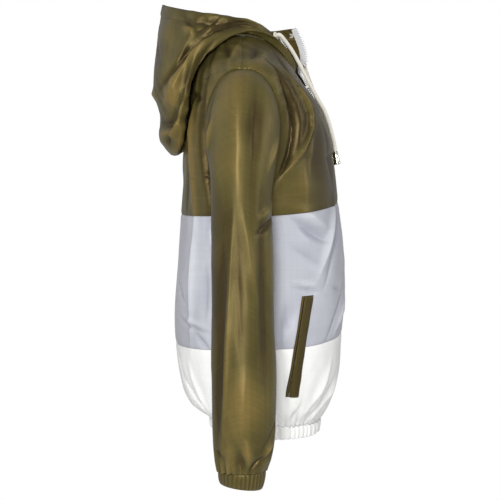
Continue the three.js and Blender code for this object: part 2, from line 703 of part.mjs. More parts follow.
function addSlider(middle) {
  const row = rowAtFrontZ(SLIDER.frontZ);
  const p = body(1, 0, row);
  const out = bodyNormal(1, 0, row);
  const up = vec(1, 0, 0).cross(out).negate().normalize();
  const frame = new THREE.Group();
  frame.matrixAutoUpdate = false;
  frame.matrix.makeBasis(vec(1, 0, 0), up, out).setPosition(p);
  frame.name = "slider_frame";
  jacket.add(frame);

  const { half, wide, plate, post, play, short } = SLIDER;
  const front = middle + ZIP.chain / 2 + play;
  const back = middle - ZIP.chain / 2 - play;
  const top = front + plate;
  const pivot = top + PULL.pin + LUG.lift;
  const lug = solid(block(-LUG.half, LUG.half, LUG.from, LUG.to, top - BITE, pivot + PULL.pin + LUG.half));
  const bore = solid(rod(PULL.pin + LUG.play, 3 * LUG.half, PULL.pivot, pivot));
  const plates = [
    block(-wide, wide, -half, half, front, top),
    block(-wide, wide, short - half, half, back - plate, back),
    block(-post, post, half / 2, half, back - BITE, front + BITE),
  ];
  const slider = plates.map(solid).reduce((a, b) => a.add(b)).add(lug.subtract(bore));
  add("zip_slider", geometryOf(slider), "white", { roughness: 0.3, parent: frame });

  const { eye, shoulder, bridge } = PULL;
  const outer = eye + PULL.arm;
  const low = top + PULL.lift;
  const high = low + PULL.thick;
  const armEnd = PULL.pivot + PULL.pin + PULL.wrap;
  const pull = union([
    rod(PULL.pin, 2 * outer, PULL.pivot, pivot),
    block(-outer, -eye, shoulder, armEnd, low, pivot + PULL.pin),
    block(eye, outer, shoulder, armEnd, low, pivot + PULL.pin),
    block(-outer, outer, shoulder - BITE, bridge, low, high),
    block(-PULL.halfWidth, PULL.halfWidth, PULL.pivot - PULL.length, shoulder, low, high),
  ]);
  add("zip_pull", pull, "white", { roughness: 0.3, parent: frame });
}

// ---------------------------------------------------------------- pockets

// The place on the tube with a given height and a given y, on one front panel.
function placeOn(side, y, z) {
  let row = ring("waist");
  let turn = 1;
  for (let i = 0; i < 30; i++) {
    const p = body(side, turn, row);
    const e = 1e-3;
    const dTurn = body(side, turn + e, row).sub(p).divideScalar(e);
    const dRow = body(side, turn, row + e).sub(p).divideScalar(e);
    const det = dTurn.y * dRow.z - dRow.y * dTurn.z;
    const [ey, ez] = [y - p.y, z - p.z];
    turn += (ey * dRow.z - dRow.y * ez) / det;
    row += (dTurn.y * ez - ey * dTurn.z) / det;
  }
  return { turn, row };
}

// A strip that lies on the panel along the welt, from one distance to another towards the back.
function strip(side, from, to, low, high) {
  const lines = spread(0, 1, WELT.steps).map((f) => {
    const [y, z] = [lerp(WELT.topY, WELT.bottomY, f), lerp(WELT.top, WELT.bottom, f)];
    const { turn, row } = placeOn(side, y, z);
    return spread(from, to, 3).map((distance) => ({ turn: shifted(side, turn, row, distance), row }));
  });
  const pointsOf = (line, out) => line.map(({ turn, row }) => bodyPoint(side, turn, row, out));
  const grid = (out) => lines.map((line) => pointsOf(line, out));
  return wall(grid(high), grid(low));
}

function addPocket(side, name) {
  const { ahead, behind, rest } = WELT;
  add(`pocket_welt_${name}`, strip(side, -ahead, behind, rest, rest + WELT.thick), "olive");
  const start = behind + SEAM;
  add(`pocket_facing_${name}`, strip(side, start, start + WELT.facing, rest, rest + CLOTH), "olive");
}

// ---------------------------------------------------------------- eyelets and drawcord

function eyeletPlace(side) {
  const start = edgeTurn(NECK_ROW);
  const turn = lerp(start, ROUND, EYELET.along);
  return { p: hood(side, turn, EYELET.up), out: hoodNormal(side, turn, EYELET.up) };
}

function turnedTo(geometry, p, axis) {
  geometry.applyQuaternion(new THREE.Quaternion().setFromUnitVectors(vec(0, 1, 0), axis));
  return geometry.translate(p.x, p.y, p.z);
}

// A closed shape turned round the y axis from [radius, height] pairs.
function turned(profile, segments) {
  const points = profile.map(([r, y]) => new THREE.Vector2(r, y));
  return new THREE.LatheGeometry([...points, points[0].clone()], segments);
}

function cord(points) {
  const section = new THREE.Shape();
  for (let i = 0; i < CORD.sides; i++) {
    const angle = (2 * ROUND * i) / CORD.sides;
    const [x, y] = [CORD.radius * Math.cos(angle), CORD.radius * Math.sin(angle)];
    if (i) section.lineTo(x, y);
    else section.moveTo(x, y);
  }
  const path = new THREE.CatmullRomCurve3(points, false, "centripetal");
  const steps = Math.round(path.getLength() / (CORD.radius * 2.6));
  return new THREE.ExtrudeGeometry(section, { steps, extrudePath: path, bevelEnabled: false });
}

function addDrawcord(side, name) {
  const { p, out } = eyeletPlace(side);
  const rest = EYELET.rest;
  const { outer, hole, thick, segments } = EYELET;
  const profile = [
    [hole, 0], [outer, 0], [outer, thick * 0.5],
    [outer * 0.85, thick], [hole * 1.15, thick], [hole, thick * 0.6],
  ];
  const seat = p.clone().addScaledVector(out, rest);
  add(`eyelet_${name}`, turnedTo(turned(profile, segments), seat, out), "ivory", { roughness: 0.3 });

  const route = CORD_ROUTE[name].map(([x, y, z]) => vec(x, y, z));
  const start = p.clone().addScaledVector(out, CORD.start);
  const lead = p.clone().addScaledVector(out, CORD.lead);
  const points = [start, lead, ...route];
  add(`drawcord_${name}`, cord(points), "ivory", { roughness: 0.8 });

  const last = route[route.length - 1];
  const down = last.clone().sub(route[route.length - 2]).normalize();
  const { length, neck, mouth } = CORD_END;
  const bell = [
    [0, 0], [neck * 0.8, 0], [neck, 1], [neck, length * 0.3], [neck * 1.1, length * 0.55],
    [mouth, length - 1], [mouth * 0.95, length], [0, length],
  ];
  const top = last.clone().addScaledVector(down, 0.3);
  const points2 = bell.map(([r, y]) => new THREE.Vector2(r, y));
  const shape = new THREE.LatheGeometry(points2, CORD_END.segments);
  add(`cord_end_${name}`, turnedTo(shape, top, down), "metal", { roughness: 0.25, metalness: 1 });
}

addBody();
for (const [side, name] of [[-1, "right"], [1, "left"]]) {
  addSleeve(side, name);
  addHood(side, name);
  addPocket(side, name);
  addDrawcord(side, name);
}
addZip();

export default jacket;
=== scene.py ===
import math
from collections import namedtuple

import bmesh
import bpy
import numpy as np
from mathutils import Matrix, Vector


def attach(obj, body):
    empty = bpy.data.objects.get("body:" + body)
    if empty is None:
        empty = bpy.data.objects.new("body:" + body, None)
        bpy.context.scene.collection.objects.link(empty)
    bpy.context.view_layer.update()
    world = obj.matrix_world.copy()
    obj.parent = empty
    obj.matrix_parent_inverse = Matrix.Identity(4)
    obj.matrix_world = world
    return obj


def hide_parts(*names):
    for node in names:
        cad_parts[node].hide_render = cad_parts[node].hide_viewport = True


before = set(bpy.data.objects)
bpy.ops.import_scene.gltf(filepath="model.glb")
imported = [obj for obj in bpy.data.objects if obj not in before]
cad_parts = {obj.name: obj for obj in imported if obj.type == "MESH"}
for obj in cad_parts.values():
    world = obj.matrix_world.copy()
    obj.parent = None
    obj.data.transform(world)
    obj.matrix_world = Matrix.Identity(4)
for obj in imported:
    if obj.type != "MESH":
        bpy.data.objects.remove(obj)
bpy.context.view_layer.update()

bl_info = {
    "name": "Hooded windbreaker",
    "version": (1, 0, 0),
    "blender": (4, 5, 0),
    "location": "View3D > Sidebar > Windbreaker",
    "description": "Sews the cloth, zip and drawcord of a hooded colour-block windbreaker round its frame",
    "category": "Object",
}

BODY = "jacket"
MM = 0.001  # shapes are worked out in millimetres and made in metres
SIDES = {"right": -1, "left": 1}  # the wearer's right hand is at -x
QUARTER = math.pi / 2

# ---------------------------------------------------------------- the form under the cloth

# Rings of the body tube from the hem up: half width, height at the side, then y and z at the front
# and at the back, and how far the corners are filled out.
RINGS = {
    "hem": (121, -550, -108, -555, 44, -550, 0.03),
    "hem_top": (122, -533, -110, -538, 47, -533, 0.03),
    "billow": (147, -509, -125, -512, 77, -511, 0.04),
    "blouse": (160, -472, -136.5, -472, 90, -478, 0.05),
    "low_seam": (164, -421, -140, -414, 95.5, -429, 0.06),
    "waist": (164, -364, -144.5, -358, 95.5, -370, 0.06),
    "ribs": (162, -302, -142, -293, 91.5, -308, 0.06),
    "high_seam": (161, -243, -134.5, -231, 87.5, -248, 0.06),
    "armpit": (161, -190, -128.5, -178, 83, -194, 0.06),
    "chest": (168, -118, -122, -138, 79, -130, 0.07),
    "shoulder": (184, -51, -111, -104, 74, -72, -0.02),
    "yoke": (134, -26, -95, -78, 69, -34, -0.01),
    "neck": (76, 0, -80, -52, 58, 6, 0),
}
RING_NAMES = list(RINGS)
RING_TABLE = np.array(list(RINGS.values()), float)
HALF_WIDTH, FRONT_Z = 0, 3  # columns of the table
ROW = {name: i for i, name in enumerate(RING_NAMES)}
NECK_LEAN = {-1: 5, 1: -5}  # the right front edge falls back, the left one stands forward
ARMHOLE = {"y": 0, "z": -120.5, "half_depth": 46, "half_height": 69.5, "power": 2.3}
ZIP_EDGE, SLIDER_Z, SLIDER_HALF, SLIDER_SPREAD, NECK_SPREAD = 9, -72, 5.5, 3, 8
GIRTH = {"body": 118, "sleeve": 33, "cuff": 29}  # mean radius, which turns an angle into a length
TURN_UNDER = 2.6  # how far the seam allowance at a sewn edge drops behind the cloth

# Rings of a sleeve below the armhole: z, how far out the centre hangs, its y, half width, half depth.
SLEEVE_RINGS = np.array([
    (-215, 207.5, 1.5, 44, 39.5), (-265, 209, 0.5, 43.5, 39.5), (-320, 211, 0, 43, 40),
    (-380, 214, -1, 42.5, 40.5), (-440, 216.5, -2, 42, 41.5), (-495, 218, -2.5, 41.5, 41.5),
    (-528, 218.5, -2.5, 40, 40), (-551, 219, -1.5, 36.5, 37), (-569, 219, 0, 31.5, 32),
], float)
CUFF = {"top": -569, "bottom": -590, "x": 219, "y": (0, 1.5), "width": (30.5, 27.5), "depth": (31, 28)}

# Stations of half the hood: how far round it is, how far the seam rolls up and out, and then the
# points where the cloth lies, folds, dents, swells and ends at the face edge: out, y, z.
HOOD_ALONG = np.array([0, 0.14, 0.3, 0.45, 0.53, 0.62, 0.8, 1])
HOOD_ROLL = np.array([(7, 0), (10, 4), (9, 8), (9, 10), (9, 9), (9, 9), (9, 8), (9, 8)], float)
HOOD_POINTS = np.array([
    [(23, -69, -38), (28, -64, -31), (31, -60, -24), (34, -56.5, -17), (37, -53, -11), (40, -49.5, -4.5),
     (42, -46, 2)],
    [(60, -45, -12), (74, -22, -2), (76, -21, 0), (76, -22, 3), (74, -24, 6), (71, -26, 9), (67, -28, 12)],
    [(88, -14, 3), (98, 14, -2), (101, 15, 1), (101, 14, 6), (99, 11, 11), (94, 6, 17), (88, 0, 21)],
    [(106, 24, -5), (114, 53, -34), (118, 57, -30), (118, 57, -23), (114, 53, -11), (106, 41, 6),
     (95, 28, 25)],
    [(106, 49, -14), (108, 73, -88), (113, 80, -83), (113, 80, -64), (110, 76, -36), (104, 63, -2),
     (92, 45, 27)],
    [(97, 64, -40), (95, 80, -142), (98, 92, -134), (100, 91, -100), (104, 95, -55), (99, 82, -8),
     (86, 62, 30)],
    [(66, 77, -62), (67, 86, -158), (64, 111, -143), (63, 112, -105), (65, 120, -62), (60, 111, -6),
     (52, 95, 38)],
    [(0, 81, -60), (0, 92, -162), (0, 117, -144), (0, 118, -107), (0, 127, -66), (0, 121, -4),
     (0, 114, 46)],
], float)
HOOD_LEFT_FRONT = np.array([
    [(18.5, -86.5, -35), (19.5, -86.5, -27), (20.5, -85.5, -19), (21.5, -83.5, -11), (22.5, -80.5, -3),
     (23.3, -77, 6), (24, -73, 14)],
    [(50, -60, -18.5), (60, -46, -9), (64, -42, -5), (66, -39, 0), (67, -37, 5), (67, -36, 9),
     (66, -36, 13)],
], float)

WELT = {"top": -350, "bottom": -487, "top_y": -87, "bottom_y": -66, "ahead": 8.8, "behind": 4.2,
        "facing": 4.4}
EYELET = {"along": 0.034, "up": 0.87, "outer": 6, "hole": 3.2}
CORD_RADIUS = 2.7
CORD_START, CORD_LEAD = 0.8, 8  # how far the cord's first two points stand out of the eyelet

# The free ends of the drawcord, from the eyelet down over the chest, point by point: how far out from
# the middle, y and z. They pass just clear of the cloth.
CORD_ROUTE = {
    "right": [
        (-45, -59, -8), (-39, -68, -20), (-32.5, -76.5, -34), (-28, -83.5, -47), (-25, -90.5, -60),
        (-22, -98, -74), (-18.5, -105.6, -88), (-17, -114, -102), (-16, -120, -117), (-15.5, -124.3, -132),
        (-15, -128, -147), (-15, -130.4, -160.5),
    ],
    "left": [
        (39, -79.5, -4), (36, -83.5, -15), (31.5, -86.5, -28), (28, -89, -42), (25, -92.5, -53),
        (23.5, -96, -63), (22, -100.5, -75), (20, -106.6, -88), (18, -114.3, -102), (16.5, -120, -117),
        (15.5, -124.3, -132), (15, -128, -147), (15, -130.6, -162),
    ],
}

# ---------------------------------------------------------------- folds

# A fold runs from one place on the cloth to another: each place is (round, up). A trough has a height
# below 0. bow is how far its middle strays round, wide its half width and high its height in
# millimetres. On the body, round is in degrees from the centre front and up is the share of the way
# from a band's lower seam to its upper one.
Fold = namedtuple("Fold", "start end bow wide high")

BODY_FOLDS = {
    "upper": [
        Fold((69, 0.70), (71, 0.22), -13, 6.5, -12),  # the drape in front of the armhole
        Fold((59, 0.70), (64, 0.24), -18, 6, 8),  # and the ridge ahead of it
        Fold((46, 0.50), (56, 0.30), -4, 9, -4.5),
        Fold((38, 0.46), (52, 0.18), 2, 3.5, 2),
        Fold((30, 0.42), (25, 0.10), 0, 16, -3),
        Fold((55, 0.25), (58, 0.02), 0, 18, 3),
        Fold((60, 0.92), (44, 0.70), 0, 8, -3),
        Fold((78, 0.88), (84, 0.70), 0, 6, -3),
        Fold((70, 0.86), (76, 0.70), 0, 6, 3),
        Fold((96, 0.86), (104, 0.66), 0, 7, 3),
        Fold((112, 0.90), (102, 0.70), 0, 6, -3.5),
        Fold((128, 0.76), (122, 0.00), 8, 8, -10),  # behind the sleeve
        Fold((145, 0.72), (138, 0.00), 4, 10, 5),
        Fold((152, 0.55), (136, 0.50), 0, 5, -3.5),
        Fold((155, 0.28), (150, 0.00), 0, 9, -3),
        Fold((148, 0.50), (176, 0.24), 6, 15, -3.5),
        Fold((146, 0.38), (178, 0.12), 6, 14, 3),
        Fold((12, 0.30), (30, 0.24), 0, 7, -2),
    ],
    "middle": [
        Fold((68, 0.96), (46, 0.78), 0, 9, -4.5),  # drawn in under the arm
        Fold((66, 1.06), (42, 0.86), 0, 10, 3),
        Fold((70, 0.76), (52, 0.60), 0, 8, -2),
        Fold((18, 0.98), (45, 0.50), 0, 6, -4),  # slants down from the zip
        Fold((26, 1.04), (50, 0.56), 0, 9, 4),
        Fold((70, 0.47), (53, 0.42), 0, 3, -2),  # at the top of the pocket
        Fold((70, 0.51), (54, 0.46), 0, 3.5, 1.4),
        Fold((40, 0.43), (28, 0.38), 0, 3, -1.8),
        Fold((25, 0.38), (42, 0.04), 0, 6, -3.5),
        Fold((18, 0.32), (34, 0.06), 0, 6, 3),
        Fold((74, 0.35), (76, 0.00), 0, 8, -2.5),
        Fold((67, 0.30), (69, 0.00), 0, 7, 2),
        Fold((138, 0.98), (138, 0.08), 0, 9, 4),
        Fold((127, 1.00), (120, 0.68), 0, 9, -5),
        Fold((127, 0.60), (126, 0.24), 0, 8, -2.5),
        Fold((160, 0.50), (146, 0.36), 0, 4, -2.2),
        Fold((152, 0.24), (124, 0.14), 4, 3.5, -2.2),
        Fold((150, 0.28), (128, 0.19), 4, 4, 1.6),
        Fold((133, 0.12), (122, 0.00), 0, 5, -3),
        Fold((170, 0.90), (166, 0.20), 3, 12, -2.5),
        Fold((8, 0.66), (20, 0.62), 0, 5, -1.6),
        Fold((7, 0.50), (20, 0.46), 0, 5, -1.6),
    ],
    "lower": [
        Fold((28, 0.66), (48, 0.18), 0, 8, -4.5),
        Fold((38, 0.78), (55, 0.28), 0, 8, 3.5),
        Fold((26, 0.48), (40, 0.22), 0, 6, -3.5),
        Fold((20, 0.66), (44, 0.16), 0, 7, 3),
        Fold((75, 0.96), (68, 0.30), 0, 9, -3),
        Fold((60, 0.40), (67, 0.10), 0, 6, -3),
        Fold((150, 0.72), (132, 0.10), 0, 5, -3.5),
        Fold((141, 0.80), (127, 0.10), 0, 7, 3.5),
        Fold((162, 0.95), (150, 0.66), 0, 5, -2.5),
        Fold((170, 0.90), (172, 0.10), 0, 9, -3),
        Fold((105, 0.85), (102, 0.15), 0, 9, -3),
        Fold((94, 0.80), (92, 0.20), 0, 8, 2.5),
    ],
}
BAND_ENDS = {
    "upper": ("high_seam", "neck"), "middle": ("low_seam", "high_seam"), "lower": ("hem_top", "low_seam"),
}

# On a sleeve, round is in degrees from the body (90 is the back, 180 the outside and 270 the front)
# and up is the share of the way down from the armhole to the cuff.
SLEEVE_FOLDS = [
    Fold((160, 0.40), (125, 0.98), 0, 4, 2.6),  # the long line behind the middle
    Fold((143, 0.42), (118, 0.92), 0, 8, -2.8),
    Fold((184, 0.32), (208, 0.50), 0, 6, 2),
    Fold((171, 0.36), (176, 0.60), 0, 10, -1.8),
    Fold((222, 0.30), (222, 0.66), 0, 11, -3),
    Fold((266, 0.33), (214, 0.36), 0, 4.5, -6),  # nipped in at the front, under the arm
    Fold((264, 0.30), (214, 0.33), 0, 5, 2.5),
    Fold((172, 0.04), (174, 0.26), 0, 10, 2),
    Fold((198, 0.05), (200, 0.27), 0, 10, -2),
    Fold((103, 0.14), (126, 0.10), 0, 5, -5),
    Fold((106, 0.17), (130, 0.12), 0, 5, 3.5),
    Fold((136, 0.06), (114, 0.11), 0, 5, -2.5),
    Fold((254, 0.12), (236, 0.22), 0, 5, 3),
    Fold((182, 0.64), (172, 0.80), 0, 18, 2.5),
    Fold((268, 0.74), (224, 0.84), 0, 4.5, -4.5),  # pushed up above the cuff
    Fold((226, 0.88), (198, 0.97), 0, 4, -4),
    Fold((262, 0.86), (226, 0.92), 0, 3.5, -3.5),
    Fold((252, 0.83), (216, 0.90), 0, 5, 3),
    Fold((186, 0.82), (196, 0.95), 0, 7, 2.8),
    Fold((172, 0.86), (184, 0.98), 0, 6, -3.2),
    Fold((110, 0.86), (134, 0.90), 0, 3.5, -2.2),
    Fold((60, 0.30), (0, 0.36), 0, 9, -4),
    Fold((60, 0.36), (0, 0.42), 0, 9, 3),
    Fold((30, 0.55), (20, 0.76), 0, 10, -3),
    Fold((320, 0.80), (355, 0.90), 0, 7, -3.5),
    Fold((50, 0.82), (20, 0.96), 0, 7, -3.5),
]

# On half the hood, round is the share of the way from the front edge to the centre back and up the
# share of the way from the neck seam to the face edge.
HOOD_FOLDS = [
    Fold((0.72, 0.72), (0.42, 0.84), 0, 5.5, -5),  # swept forward from the back of the head
    Fold((0.72, 0.66), (0.42, 0.76), 0, 10, 4.5),
    Fold((0.68, 0.97), (0.53, 0.90), 0, 5, -3),  # a star of creases under the crown
    Fold((0.45, 0.98), (0.52, 0.90), 0, 5, -3),
    Fold((0.61, 0.96), (0.44, 0.94), 0, 4.5, -2.5),
    Fold((0.66, 0.93), (0.54, 0.91), 0, 7, 3),
    Fold((0.46, 0.84), (0.18, 0.80), 0, 10, -4.5),
    Fold((0.34, 0.92), (0.16, 0.91), 0, 6, 3),
    Fold((0.34, 0.86), (0.18, 0.85), 0, 5, -2.2),
    Fold((0.82, 0.58), (0.54, 0.56), 0, 5.5, -4.5),  # the crease over the lower lobe
    Fold((0.70, 0.57), (0.60, 0.63), 0, 4.5, -2.5),
    Fold((0.80, 0.53), (0.58, 0.52), 0, 6, 3.5),
    Fold((0.68, 0.54), (0.74, 0.46), 0, 6, -3),
    Fold((0.62, 0.74), (0.64, 0.60), 0, 17, 3.5),
    Fold((0.50, 0.70), (0.54, 0.58), 0, 14, -3.5),
    Fold((0.97, 0.86), (0.76, 0.80), 0, 9, -4),
    Fold((0.96, 0.72), (0.80, 0.69), 0, 10, 3.5),
    Fold((0.97, 0.57), (0.84, 0.60), 0, 7, -4),
    Fold((0.03, 0.97), (0.03, 0.80), 0, 2.6, -1.5),  # gathers under the eyelet
    Fold((0.06, 0.97), (0.06, 0.78), 0, 2.6, -1.5),
    Fold((0.09, 0.96), (0.09, 0.80), 0, 2.6, -1.5),
]

# How strongly each part's folds show.
BOLD = {"upper": 1.15, "middle": 1.6, "lower": 1.3, "sleeve": 1.35, "hood": 1.5}
FOLD_RUN_OUT = 0.16  # how far a fold fades out past its ends, as a share of its length
OTHER_SIDE = {"drift": 3, "drop": 0.03, "calmer": 0.9}  # the left half is like the right, not its mirror


def run_on(values):
    """Rows of values with one more at each end, straight on from the last two."""
    return np.concatenate([[2 * values[0] - values[1]], values, [2 * values[-1] - values[-2]]])


def cubic(a, b, c, d, f):
    """The cubic from b to c whose slope at each is half the way between its two neighbours."""
    return 0.5 * (2 * b + (c - a) * f + (2 * a - 5 * b + 4 * c - d) * f**2 + (3 * b - a - 3 * c + d) * f**3)


def along(values, at):
    """A curve of cubics through rows of values, which runs on straight past both ends."""
    values = np.asarray(values, float)
    padded = run_on(values)
    at = np.asarray(at, float)
    i = np.clip(np.floor(at).astype(int), 0, len(values) - 2)
    f = at - i
    if values.ndim > 1:
        f = f.reshape(f.shape + (1,) * (values.ndim - 1))
    return cubic(*(padded[i + k] for k in range(4)), f)


def run_along(line):
    """How far along a line of points each one lies."""
    return np.concatenate([[0], np.cumsum(np.linalg.norm(np.diff(line, axis=0), axis=1))])


def between(at, run, values, period=None):
    """Rows of three values, interpolated at other places along their run."""
    return np.stack([np.interp(at, run, values[:, k], period=period) for k in range(3)], axis=-1)


def smooth(low, high, x):
    """0 below low, 1 above high, and an S curve between them."""
    t = np.clip((np.asarray(x, float) - low) / (high - low), 0, 1)
    return t * t * (3 - 2 * t)


def unit(v):
    return v / np.maximum(np.linalg.norm(v, axis=-1, keepdims=True), 1e-12)


def body(side, turn, row):
    """The body tube: each ring's front and back are half ellipses whose height eases from the side's
    to the centre line's. turn is 0 at the centre front and half a turn at the centre back."""
    turn, row = np.broadcast_arrays(np.asarray(turn, float), np.asarray(row, float))
    width, side_z, front_y, front_z, back_y, back_z, square = np.moveaxis(along(RING_TABLE, row), -1, 0)
    swell = 1 + square * np.sin(2 * turn) ** 2
    forward = np.cos(turn)
    is_front = forward > 0
    share = 1 - smooth(ROW["high_seam"], ROW["shoulder"], row)
    middle_y = (front_y + back_y) / 2 * share
    end_y = np.where(is_front, front_y, back_y)
    end_z = np.where(is_front, front_z, back_z)
    reach = np.abs(forward)
    lean = NECK_LEAN[side] * smooth(ROW["shoulder"], ROW["neck"], row) * np.where(is_front, reach**3, 0)
    return np.stack([
        side * width * np.sin(turn) * swell,
        middle_y + (end_y - middle_y) * reach * swell + lean,
        side_z + (end_z - side_z) * reach**2,
    ], axis=-1)


def body_normal(side, turn, row):
    """Across both directions of the tube, turned to point away from its inside."""
    e = 1e-3
    round_it = body(side, turn + e, row) - body(side, turn - e, row)
    rise = body(side, turn, row + e) - body(side, turn, row - e)
    return unit(np.cross(round_it, rise)) * side


def half_width(row):
    return along(RING_TABLE[:, HALF_WIDTH], row)


def edge_offset(row):
    """How far a front edge stands from the middle: closed up to the slider, then spreading."""
    z = along(RING_TABLE[:, FRONT_Z], row)
    low, high = SLIDER_Z - SLIDER_HALF, SLIDER_Z + SLIDER_HALF
    neck_z = RINGS["neck"][FRONT_Z]
    return ZIP_EDGE + np.interp(z, [low, high, neck_z], [0, SLIDER_SPREAD, NECK_SPREAD])


def edge_turn(row):
    return np.arcsin(edge_offset(row) / half_width(row))


def armhole_turn(side, row, is_front):
    """Where the armhole cuts each ring, found by halving: the armhole is a full oval from the side."""
    row = np.asarray(row, float)
    near = np.full(row.shape, QUARTER)
    far = np.full(row.shape, 0.2 if is_front else math.pi - 0.2)
    for _ in range(40):
        middle = (near + far) / 2
        p = body(side, middle, row)
        across = np.abs((p[..., 1] - ARMHOLE["y"]) / ARMHOLE["half_depth"]) ** ARMHOLE["power"]
        up = np.abs((p[..., 2] - ARMHOLE["z"]) / ARMHOLE["half_height"]) ** ARMHOLE["power"]
        outside = across + up > 1
        far = np.where(outside, middle, far)
        near = np.where(outside, near, middle)
    inside = (row > ROW["armpit"]) & (row < ROW["shoulder"])
    return np.where(inside, near, QUARTER)


def sleeve_ring(side, angle, values):
    """An ellipse that hangs level: angle 0 is towards the body, and a quarter turn the back."""
    z, x, y, half_width, half_depth = np.moveaxis(values, -1, 0)
    return np.stack([
        side * (x - half_width * np.cos(angle)),
        y + half_depth * np.sin(angle),
        z + 0 * angle,
    ], axis=-1)


def hood(side, turn, up):
    """Half the hood: a curve through the neck seam, its roll and the seven points of a station,
    where the station's own points lie on curves from the front edge to the centre back."""
    points, start = HOOD_POINTS.copy(), edge_turn(float(ROW["neck"]))
    if side > 0:
        points[:2] = HOOD_LEFT_FRONT
    place = (turn - start) / (math.pi - start)
    station = np.interp(place, HOOD_ALONG, np.arange(len(HOOD_ALONG)))
    station = station + np.where(place > 1, (place - 1) / (HOOD_ALONG[-1] - HOOD_ALONG[-2]), 0)
    neck = body(side, turn, np.full(np.shape(turn), float(ROW["neck"])))
    away = unit(neck * np.array([1, 1, 0]))
    rise, out = np.moveaxis(along(HOOD_ROLL, station), -1, 0)
    roll = neck + away * out[..., None]
    roll[..., 2] = neck[..., 2] + rise
    rest = along(points, station) * np.array([side, 1, 1])
    line = np.concatenate([neck[..., None, :], roll[..., None, :], rest], axis=-2)
    steps = line.shape[-2] - 1
    line = np.moveaxis(line, -2, 0)
    padded = run_on(line)
    i = np.clip(np.floor(up * steps).astype(int), 0, steps - 1)
    f = (up * steps - i)[..., None]
    return cubic(*(np.take_along_axis(padded, (i + k)[None, ..., None], axis=0)[0] for k in range(4)), f)


# ---------------------------------------------------------------- relief of the cloth

def stroke(at, line, half_width):
    """Across a bent line, a bell with a crisp crest, about 1 on the line, that dies away at both ends."""
    lengths = run_along(line)
    best = np.full(at.shape[:-1], np.inf)
    share = np.zeros(at.shape[:-1])
    for a, b, from_length, to_length in zip(line[:-1], line[1:], lengths[:-1], lengths[1:]):
        step = b - a
        t = np.clip(((at - a) @ step) / (step @ step), 0, 1)
        away = np.linalg.norm(at - a - t[..., None] * step, axis=-1)
        closer = away < best
        best = np.where(closer, away, best)
        share = np.where(closer, from_length + t * (to_length - from_length), share)
    share = share / lengths[-1]
    taper = smooth(-0.1, 0.5, share) * smooth(-0.1, 0.5, 1 - share)
    wide = half_width * (0.55 + 0.45 * taper)
    soft = np.exp(-((best / wide) ** 2))
    crisp = np.exp(-np.sqrt((best / (0.4 * wide)) ** 2 + 0.03))
    return (0.55 * soft + 0.5 * crisp) * taper


def fold_places(fold, other_side=False, unit_round=1.0):
    """The places a fold runs through: a straight run from its start to its end with its bow added."""
    t = np.linspace(-FOLD_RUN_OUT, 1 + FOLD_RUN_OUT, 11)
    round_it = fold.start[0] + (fold.end[0] - fold.start[0]) * t + fold.bow * 4 * t * (1 - t)
    up = fold.start[1] + (fold.end[1] - fold.start[1]) * t
    if other_side:
        round_it, up = round_it + OTHER_SIDE["drift"] * unit_round, up - OTHER_SIDE["drop"]
    return round_it, up


def folded(at, folds, line_of, other_side, bold, unit_round=1.0):
    """The sum of a table's folds at each point of the cloth. line_of turns places into points."""
    total = np.zeros(at.shape[:-1])
    for fold in folds:
        line = line_of(*fold_places(fold, other_side, unit_round))
        total += fold.high * stroke(at, line, fold.wide)
    return total * bold * (OTHER_SIDE["calmer"] if other_side else 1)


def on_grid(form, columns, rows):
    """Points of a grid at places between its columns and rows."""
    columns = np.clip(columns, 0, form.shape[1] - 1.001)
    rows = np.clip(rows, 0, form.shape[0] - 1.001)
    i, j = rows.astype(int), columns.astype(int)
    f, g = (rows - i)[:, None], (columns - j)[:, None]
    low = form[i, j] * (1 - g) + form[i, j + 1] * g
    high = form[i + 1, j] * (1 - g) + form[i + 1, j + 1] * g
    return low * (1 - f) + high * f


def ripple(p, seed, longest, shortest, height):
    """Soft unevenness: a sum of plane waves in fixed directions drawn once from a seed."""
    draw = np.random.default_rng(seed)
    total = np.zeros(p.shape[:-1])
    count = 14
    for _ in range(count):
        direction = unit(draw.normal(size=3) * np.array([1, 1, 0.45]))
        wave = draw.uniform(shortest, longest)
        total += np.sin(p @ direction * (2 * math.pi / wave) + draw.uniform(0, 2 * math.pi))
    return total * height / math.sqrt(count)


def crumple(p, seed, pitch, height):
    """Crisp little creases in patches: the folded-up middle of warped waves, where it is sharpest."""
    draw = np.random.default_rng(seed)
    total = np.zeros(p.shape[:-1])
    for _ in range(5):
        direction = unit(draw.normal(size=3) * np.array([1, 1, 0.7]))
        aside = unit(draw.normal(size=3))
        warp = np.sin(p @ aside * (2 * math.pi / (4.2 * pitch)) + draw.uniform(0, 6))
        wave = np.sin(p @ direction * (2 * math.pi / (pitch * draw.uniform(0.8, 1.9))) + 2.2 * warp)
        patch = smooth(0.1, 0.9, np.sin(p @ unit(draw.normal(size=3)) / (0.7 * pitch) + draw.uniform(0, 6)))
        total += (0.6 - np.sqrt(wave**2 + 0.01)) * patch
    return total * height


def gathers(s, h, pitch, height, reach, seed):
    """Elastic gathers: uneven waves along s that die away with the distance h from the elastic."""
    draw = np.random.default_rng(seed)
    drift = sum(
        draw.uniform(0.1, 0.3) * np.sin(s / draw.uniform(14, 60) + draw.uniform(0, 6)) for _ in range(5)
    )
    uneven = 0.65 + 0.35 * np.sin(s / (2.7 * pitch) + 3 * drift)
    fine = np.cos(2 * math.pi * (s / pitch + drift)) * uneven * np.exp(-h / reach)
    coarse = np.cos(2 * math.pi * (s / (2.6 * pitch) + 0.7 * drift + 0.2)) * np.exp(-h / (2.2 * reach))
    return height * (fine + 0.7 * coarse * (1 - np.exp(-h / 6)))


